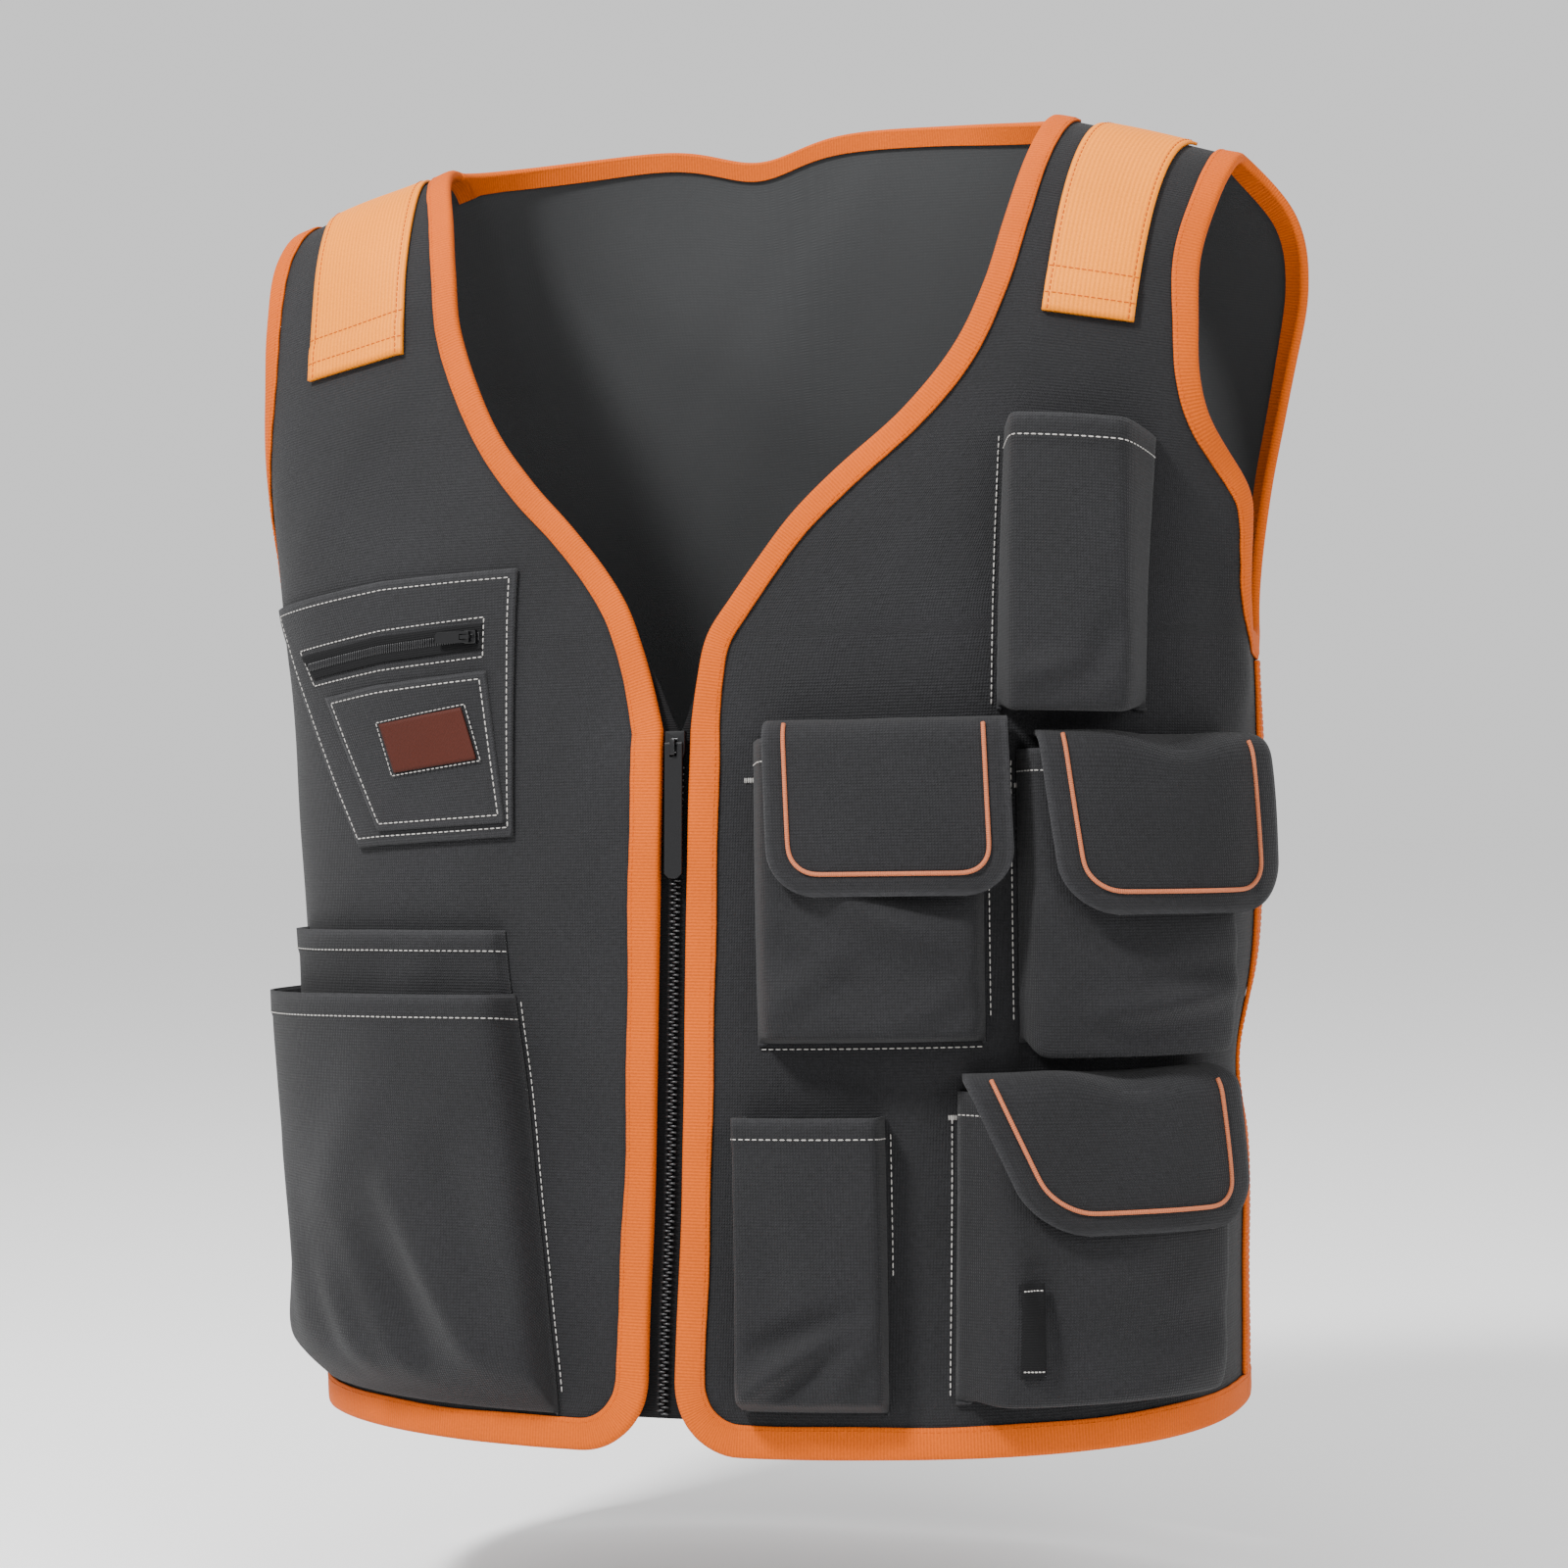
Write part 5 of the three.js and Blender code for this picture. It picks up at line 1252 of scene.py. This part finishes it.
def flap_out(spec, girth, height):
    """How far the hanging part of a flap stands out over the pocket's face."""
    under = POCKETS[spec["over"]]
    low = flap_low(spec, height)
    swing = 2.2 * low**2 + 1.2 * np.sin(low * math.pi)
    return face_out(under, girth, np.minimum(height, under["top"])) + FLAP_GAP + FLAP_CLOTH + swing


def flap_sag(spec, girth, low):
    """How far the flap's folded top edge dips between the places that hold it up; it fades out below."""
    total = 0
    for middle, depth, width in spec["dips"]:
        total = total + depth * np.exp(-(((girth - middle) / width) ** 2))
    return total * np.exp(-((low / 0.16) ** 2))


def flap_grid(spec):
    """Grid of a flap's outer face: out from its seam, over the fold and down over the pocket."""
    corner = spec["bottom"] + spec["corner"] * (1 - np.cos(np.linspace(90, 3, 26) * DEGREE))
    hang = np.linspace(spec["top"] - 7, spec["bottom"] + spec["corner"], 40)
    control = np.array([0, 1, 2, 3.0])
    at = np.linspace(0, 3, 16)
    turn_height = np.interp(at, control, spec["top"] + np.array([0, 1.5, -0.5, -7]))
    turn_out = np.interp(at, control, [0, 0.45, 0.88, 1])
    height = np.concatenate([turn_height, hang[1:], corner[1:]])
    reach = np.concatenate([turn_out, np.ones(len(height) - len(at))])
    height[:40] = smooth_along(height[:40], 0, 2)
    reach[:40] = smooth_along(reach[:40], 0, 2)
    start, end = flap_span(spec, height)
    girth = mix(start[:, None], end[:, None], np.linspace(0, 1, 56)[None, :])
    height = np.repeat(height[:, None], 56, axis=1)
    hung = flap_out(spec, girth, height)
    out = mix(OVER_PANEL + FLAP_CLOTH, hung, reach[:, None])
    near = np.minimum(np.minimum(girth - start[:, None], end[:, None] - girth), height - spec["bottom"])
    band = smooth_step(9.2, 8.0, near) * smooth_step(0.5, 1, reach[:, None])
    sunk = np.exp(-(((near - 8.6) / 1.0) ** 2))
    low = flap_low(spec, height)
    lowered = height - flap_sag(spec, girth, low) * reach[:, None]
    ripple = flap_ripple(girth, height, low)
    return on_cloth(girth, lowered, out + 0.5 * band - 0.5 * sunk * reach[:, None] + ripple), near


def flap_outline(spec, inset):
    """The flap's outline, moved inwards: down one side, round the corners and up the other side."""
    height = np.concatenate([
        np.linspace(spec["top"] - 1, spec["bottom"] + spec["corner"], 40),
        (spec["bottom"] + spec["corner"] * (1 - np.cos(np.linspace(90, 0, 24) * DEGREE)))[1:],
    ])
    start, end = flap_span(spec, height)
    left = np.stack([start, height], axis=1)
    right = np.stack([end, height], axis=1)[::-1]
    line = resample(np.concatenate([left, right]), 1.0)[0]
    along = unit(np.gradient(line, axis=0))
    inward = np.stack([-along[:, 1], along[:, 0]], axis=1)
    moved = line + inward * inset
    return moved[moved[:, 1] < spec["top"] - 0.5]


def flap_place(spec, line, above):
    """Points and normals over a flap's hanging part for a line given along the cloth and up."""
    girth, height = line.T
    low = flap_low(spec, height)
    turn = smooth_step(spec["top"] + 1, spec["top"] - 7, height)
    out = mix(OVER_PANEL + FLAP_CLOTH, flap_out(spec, girth, height), mix(0.86, 1.0, turn))
    out = out + flap_ripple(girth, height, low)
    return line_on_cloth(girth, height - flap_sag(spec, girth, low), out + above)


def make_flap(name, radius):
    """A flap with a raised border and corded piping along it."""
    spec = FLAPS[name]
    outer, near = flap_grid(spec)
    inner = outer - outward_normals(outer) * FLAP_CLOTH
    wear = np.clip(1 - near / 3.0, 0, 1) * 0.5
    piece = shell_piece(f"{name}_canvas", name, outer, inner, FINISHES["canvas"], wear=wear)
    line = flap_outline(spec, 9.4)
    path, up = flap_place(spec, line, 0.35)
    path, up = resample(path, 1.2, up)
    path = smooth_along(path, 0, 2)
    tube(f"{name}_piping", path, unit(up), radius / MM, FINISHES["piping"])


class VestPockets(bpy.types.Operator):
    """Makes the standing pockets with their hems, folds and stitches"""

    bl_idname = "vest.pockets"
    bl_label = "Standing pockets"

    def execute(self, context):
        thread = Thread("pocket_stitches", FINISHES["thread"])
        for name in POCKETS:
            make_pocket(name, thread)
        for name, column, low, high in FOOT_SEAMS:
            foot_seam(name, thread, column, low, high)
        cloth_line(thread, 1, [(38, 169.5), (133, 169.5)], CLOTH + 0.4)
        bartack(thread, 1, (31, 284), (40, 284), CLOTH + 0.5)
        bartack(thread, 1, (147, 279), (154, 279), CLOTH + 1.0)
        bartack(thread, 1, (118, 140), (124, 140), CLOTH + 0.5)
        thread.make()
        return {"FINISHED"}


class VestFlaps(bpy.types.Operator):
    """Makes the three flaps with their piping, and the clip strip"""

    bl_idname = "vest.flaps"
    bl_label = "Flaps"

    def execute(self, context):
        sizes = context.scene.vest_sizes
        thread = Thread("flap_stitches", FINISHES["thread"])
        for name in FLAPS:
            make_flap(name, sizes.piping_radius)
        under = "lower_flap_pocket"
        height = np.linspace(33, 72, 30)[:, None]
        girth = np.linspace(144, 152.7, 9)[None, :]
        stand = folded_face(under, girth, height)
        arch = 1.6 * np.sin((height - 33) / 39 * math.pi) ** 0.6
        outer = on_cloth(girth, height, stand + 1.9 + arch)
        inner = on_cloth(girth, height, stand + 0.8 + arch)
        shell_piece("clip_strip_webbing", "clip_strip", outer, inner, FINISHES["tape"])
        line = np.linspace(144.6, 152.2, 8)
        for z in (36, 69):
            height = np.full(8, float(z))
            path, up = line_on_cloth(line, height, folded_face(under, line, height) + 2.4)
            thread.line(path, up, pitch=1.6, width=0.7)
        thread.make()
        return {"FINISHED"}


# Chest pocket on the wearer's right


def patch_grid(corners, out, columns, rows):
    """Grid on the wearer's right between four corners given along the cloth and up, blended both ways."""
    low_in, low_out, top_in, top_out = (np.array(corner, float) for corner in corners)
    s = np.linspace(0, 1, columns)[None, :, None]
    r = np.linspace(0, 1, rows)[:, None, None]
    place = mix(mix(low_in, low_out, s), mix(top_in, top_out, s), r)
    return on_cloth(-place[..., 0], place[..., 1], out)


def make_patch(name, node, corners, size, outs, kind="canvas"):
    """A patch between four corners, with its outer and its inner face at two distances out."""
    outer, inner = (patch_grid(corners, out, *size) for out in outs)
    wear = edge_wear(outer) if kind == "canvas" else None
    return shell_piece(name, node, outer, inner, FINISHES[kind], wear=wear), outer


def patch_relief(rows, columns, width, height, seam=2.6):
    """Cloth pressed down along its stitched rim and a little raised inside it."""
    x = np.linspace(0, width, columns)[None, :]
    z = np.linspace(0, height, rows)[:, None]
    near = np.minimum(np.minimum(x, width - x), np.minimum(z, height - z))
    return 0.35 * smooth_step(0, seam * 2.5, near) - 0.3 * np.exp(-(((near - seam) / 0.9) ** 2))


def inset_corners(corners, distance):
    """The loop of a patch's corners, moved towards its middle, closed on itself."""
    low_in, low_out, top_in, top_out = (np.array(corner, float) for corner in corners)
    ring = [low_in, low_out, top_out, top_in]
    middle = sum(ring) / 4
    moved = [corner + (middle - corner) / np.linalg.norm(middle - corner) * distance * 1.35
             for corner in ring]
    return moved + moved[:1]


def stitch_border(thread, outer, inset=2):
    """Stitches along a patch's four edges, on its own surface."""
    normals = grid_normals(outer)
    if normals[2, 2, 1] > 0:
        normals = -normals
    inner = slice(inset, -inset)
    for place in ((inset, inner), (-inset - 1, inner), (inner, inset), (inner, -inset - 1)):
        thread.line(outer[place], normals[place])


CHEST_CORNERS = [(78, 262), (165, 258), (78, 380), (234, 375)]
TOOL_CORNERS = [(81, 268), (150, 265), (91, 335), (185, 328)]
LABEL_CORNERS = [(94, 296), (138, 291), (102, 319), (147, 313)]
WINDOW_CORNERS = [(91, 341), (196, 334), (91, 359), (207, 352)]
TAPE_CORNERS = [(93, 344.5), (194, 337.5), (93, 356), (204, 349)]


class VestChestPocket(bpy.types.Operator):
    """Makes the slanted chest pocket with its zip, the tool pocket over it and the bare label"""

    bl_idname = "vest.chest_pocket"
    bl_label = "Chest pocket"

    def execute(self, context):
        thread = Thread("chest_stitches", FINISHES["thread"])
        relief = patch_relief(60, 90, 150, 115)
        out = OVER_PANEL + 0.15
        piece, outer = make_patch("chest_pocket_canvas", "chest_patch_pocket", CHEST_CORNERS, (90, 60),
                                  (out + POCKET_CLOTH + relief, out))
        stitch_border(thread, outer)
        tool_out = out + POCKET_CLOTH + 0.4
        relief = patch_relief(40, 60, 90, 68)
        swell = 1.2 * np.sin(np.linspace(0, math.pi, 60))[None, :] * np.linspace(0.2, 1, 40)[:, None] ** 2
        piece, outer = make_patch("tool_pocket_canvas", "tool_pocket", TOOL_CORNERS, (60, 40),
                                  (tool_out + POCKET_CLOTH + relief + swell, tool_out + swell))
        stitch_border(thread, outer)
        label_out = tool_out + POCKET_CLOTH + 1.3
        make_patch("label_bare", "label", LABEL_CORNERS, (30, 16), (label_out + 0.8, label_out), "label")
        cloth_line(thread, -1, inset_corners(LABEL_CORNERS, -1.6), label_out + 0.1, pitch=2.4, width=0.5)
        self.zip(thread, out + POCKET_CLOTH)
        thread.make()
        return {"FINISHED"}

    def zip(self, thread, out):
        """The pocket's zip in its stitched window: tape, a sunk slot and a fine coil."""
        x = np.linspace(-1, 1, 13)[:, None]
        sunk = out + 1.1 - 0.5 * np.exp(-((x / 0.35) ** 2))
        make_patch("chest_zip_tape_knit", "chest_zip_tape", TAPE_CORNERS, (70, 13), (sunk, out + 0.3), "tape")
        cloth_line(thread, -1, inset_corners(WINDOW_CORNERS, 1.2), out + 0.5, pitch=2.8)
        count = 84
        share = (np.arange(count) + 0.5) / count
        girth = mix(94.0, 198.0, share)
        height = mix(350.2, 343.4, share)
        place, up = line_on_cloth(-girth, height, out + 1.15)
        along = np.tile([[0.0, 0.0, 1.0]], (count, 1))
        points, faces = scatter(bead_shape(4.2, 0.9, 0.9), place, along, up)
        build("chest_zip_coil", points, faces, points[:, [0, 2]], [FINISHES["teeth"]])


# Shoulder patches

SHOULDER_PATCHES = {
    "right": dict(bottom=482, low=(145, 197), top=(161.5, 211)),
    "left": dict(bottom=482, low=(156, 194), top=(170, 210)),
}


class VestShoulders(bpy.types.Operator):
    """Makes the bright patches over the shoulders"""

    bl_idname = "vest.shoulders"
    bl_label = "Shoulder patches"

    def execute(self, context):
        thread = Thread("shoulder_stitches", FINISHES["orange_thread"], "binding")
        for side, spec in SHOULDER_PATCHES.items():
            sign = SIDES[side]["sign"]
            start = math.sqrt(1 - spec["bottom"] / HEIGHT)
            share = np.linspace(0, 1, 70)
            t = np.minimum(1 - (start * (1 - share)) ** 2, CREST_END)[:, None]
            low = mix(spec["low"][0], spec["top"][0], share)[:, None]
            high = mix(spec["low"][1], spec["top"][1], share)[:, None]
            x = mix(low, high, np.linspace(0, 1, 34)[None, :])
            angle = sign * angle_at_width(x, t)
            rim = np.minimum(x - low, high - x)
            down = share[:, None] * 95
            relief = 0.4 * smooth_step(0, 4, rim) + 0.7 * smooth_step(9, 8, down)
            outer = layer(angle, t, OVER_PANEL + 1.2 + relief)
            inner = layer(angle, t, np.full(angle.shape, OVER_PANEL - 0.2))
            piece = shell_piece(f"shoulder_{side}_coated", f"shoulder_patch_{side}", outer, inner,
                                FINISHES["patch"])
            normals = shell_normal(angle, t)
            for column in (2, -3):
                thread.line(outer[:, column], normals[:, column], **EDGE_STITCH)
            for row in (3, 8):
                thread.line(outer[row], normals[row], **EDGE_STITCH)
        thread.make()
        return {"FINISHED"}


# Camera, floor and light

CAMERA_AZIMUTH = 19.312
CAMERA_ELEVATION = 0.93
CAMERA_ROLL = -1.746
CAMERA_DISTANCE = 1.5316
CAMERA_TARGET = (9.492, 0.0, 280.365)
CAMERA_LENS = 75.92
FLOOR_REACH = 9.0
WORLD_STRENGTH = 0.95
LIGHTS = [
    ("key_light", (-0.75, -1.35, 1.75), 0.4, 95.0),
    ("fill_light", (1.7, -1.3, 0.7), 0.9, 20.0),
    ("top_light", (0.1, -0.2, 1.6), 1.0, 12.0),
]


class VestStage(bpy.types.Operator):
    """Sets the floor, the studio light and the camera at the photograph's angle"""

    bl_idname = "vest.stage"
    bl_label = "Stage"

    def execute(self, context):
        scene = context.scene
        hem = -NAPE[2] * MM
        level = hem - scene.vest_sizes.floor_drop
        corners = [(x * FLOOR_REACH, y * FLOOR_REACH, level) for x, y in ((-1, -1), (1, -1), (1, 1), (-1, 1))]
        mesh = bpy.data.meshes.new("floor")
        mesh.from_pydata(corners, [], [(0, 1, 2, 3)])
        floor = bpy.data.objects.new("floor", mesh)
        scene.collection.objects.link(floor)
        material, _, shader = new_material("Matt paper, pale", 0.9, Specular_IOR_Level=0.1)
        shader.inputs["Base Color"].default_value = linear("#fdfdfd", alpha=True)
        mesh.materials.append(material)
        world = bpy.data.worlds.new("Studio")
        scene.world = world
        world.use_nodes = True
        background = world.node_tree.nodes["Background"]
        background.inputs["Color"].default_value = (1.0, 1.0, 1.0, 1.0)
        background.inputs["Strength"].default_value = WORLD_STRENGTH
        middle = Vector((0, -0.08, hem + 0.3))
        for name, place, width, power in LIGHTS:
            light = bpy.data.lights.new(name, "AREA")
            light.size = width
            light.energy = power
            lamp = bpy.data.objects.new(name, light)
            lamp.location = Vector(place) + middle
            lamp.rotation_euler = (middle - lamp.location).to_track_quat("-Z", "Y").to_euler()
            scene.collection.objects.link(lamp)
        self.camera(scene)
        return {"FINISHED"}

    def camera(self, scene):
        """The camera: turned round the vest, level with it and rolled a little."""
        azimuth = CAMERA_AZIMUTH * DEGREE
        elevation = CAMERA_ELEVATION * DEGREE
        roll = CAMERA_ROLL * DEGREE
        back = Vector((math.sin(azimuth) * math.cos(elevation), -math.cos(azimuth) * math.cos(elevation),
                       math.sin(elevation)))
        right = Vector((math.cos(azimuth), math.sin(azimuth), 0))
        up = back.cross(right)
        rolled_right = right * math.cos(roll) + up * math.sin(roll)
        rolled_up = up * math.cos(roll) - right * math.sin(roll)
        target = (Vector(CAMERA_TARGET) - Vector(NAPE)) * MM
        data = bpy.data.cameras.new("camera")
        data.lens = CAMERA_LENS
        data.sensor_width = 36.0
        data.clip_end = 100.0
        camera = bpy.data.objects.new("camera", data)
        turn = Matrix((rolled_right, rolled_up, back)).transposed()
        camera.matrix_world = Matrix.Translation(target + back * CAMERA_DISTANCE) @ turn.to_4x4()
        scene.collection.objects.link(camera)
        scene.camera = camera


class VestPanel(bpy.types.Panel):
    """Lists the vest's steps, sizes and colours"""

    bl_idname = "VIEW3D_PT_vest"
    bl_label = "Utility work vest"
    bl_space_type = "VIEW_3D"
    bl_region_type = "UI"
    bl_category = "Vest"

    def draw(self, context):
        for step in STEPS:
            self.layout.operator(step.bl_idname)
        for group in (context.scene.vest_sizes, context.scene.vest_colours):
            for key in group.__annotations__:
                self.layout.prop(group, key)


STEPS = (VestShell, VestBindings, VestSeamTapes, VestFrontZip, VestPockets, VestFlaps, VestChestPocket,
         VestShoulders, VestStage)
CLASSES = (VestSizes, VestColours) + STEPS + (VestPanel,)


def register():
    """Registers the classes and the scene's settings."""
    for kind in CLASSES:
        bpy.utils.register_class(kind)
    bpy.types.Scene.vest_sizes = bpy.props.PointerProperty(type=VestSizes)
    bpy.types.Scene.vest_colours = bpy.props.PointerProperty(type=VestColours)


def unregister():
    """Takes them away again."""
    del bpy.types.Scene.vest_sizes
    del bpy.types.Scene.vest_colours
    for kind in reversed(CLASSES):
        bpy.utils.unregister_class(kind)


def main():
    """Registers the add-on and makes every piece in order."""
    register()
    make_finishes(bpy.context.scene.vest_sizes, bpy.context.scene.vest_colours)
    bpy.ops.vest.shell()
    bpy.ops.vest.bindings()
    bpy.ops.vest.seam_tapes()
    bpy.ops.vest.front_zip()
    bpy.ops.vest.pockets()
    bpy.ops.vest.flaps()
    bpy.ops.vest.chest_pocket()
    bpy.ops.vest.shoulders()
    bpy.ops.vest.stage()


if __name__ == "__main__":
    main()
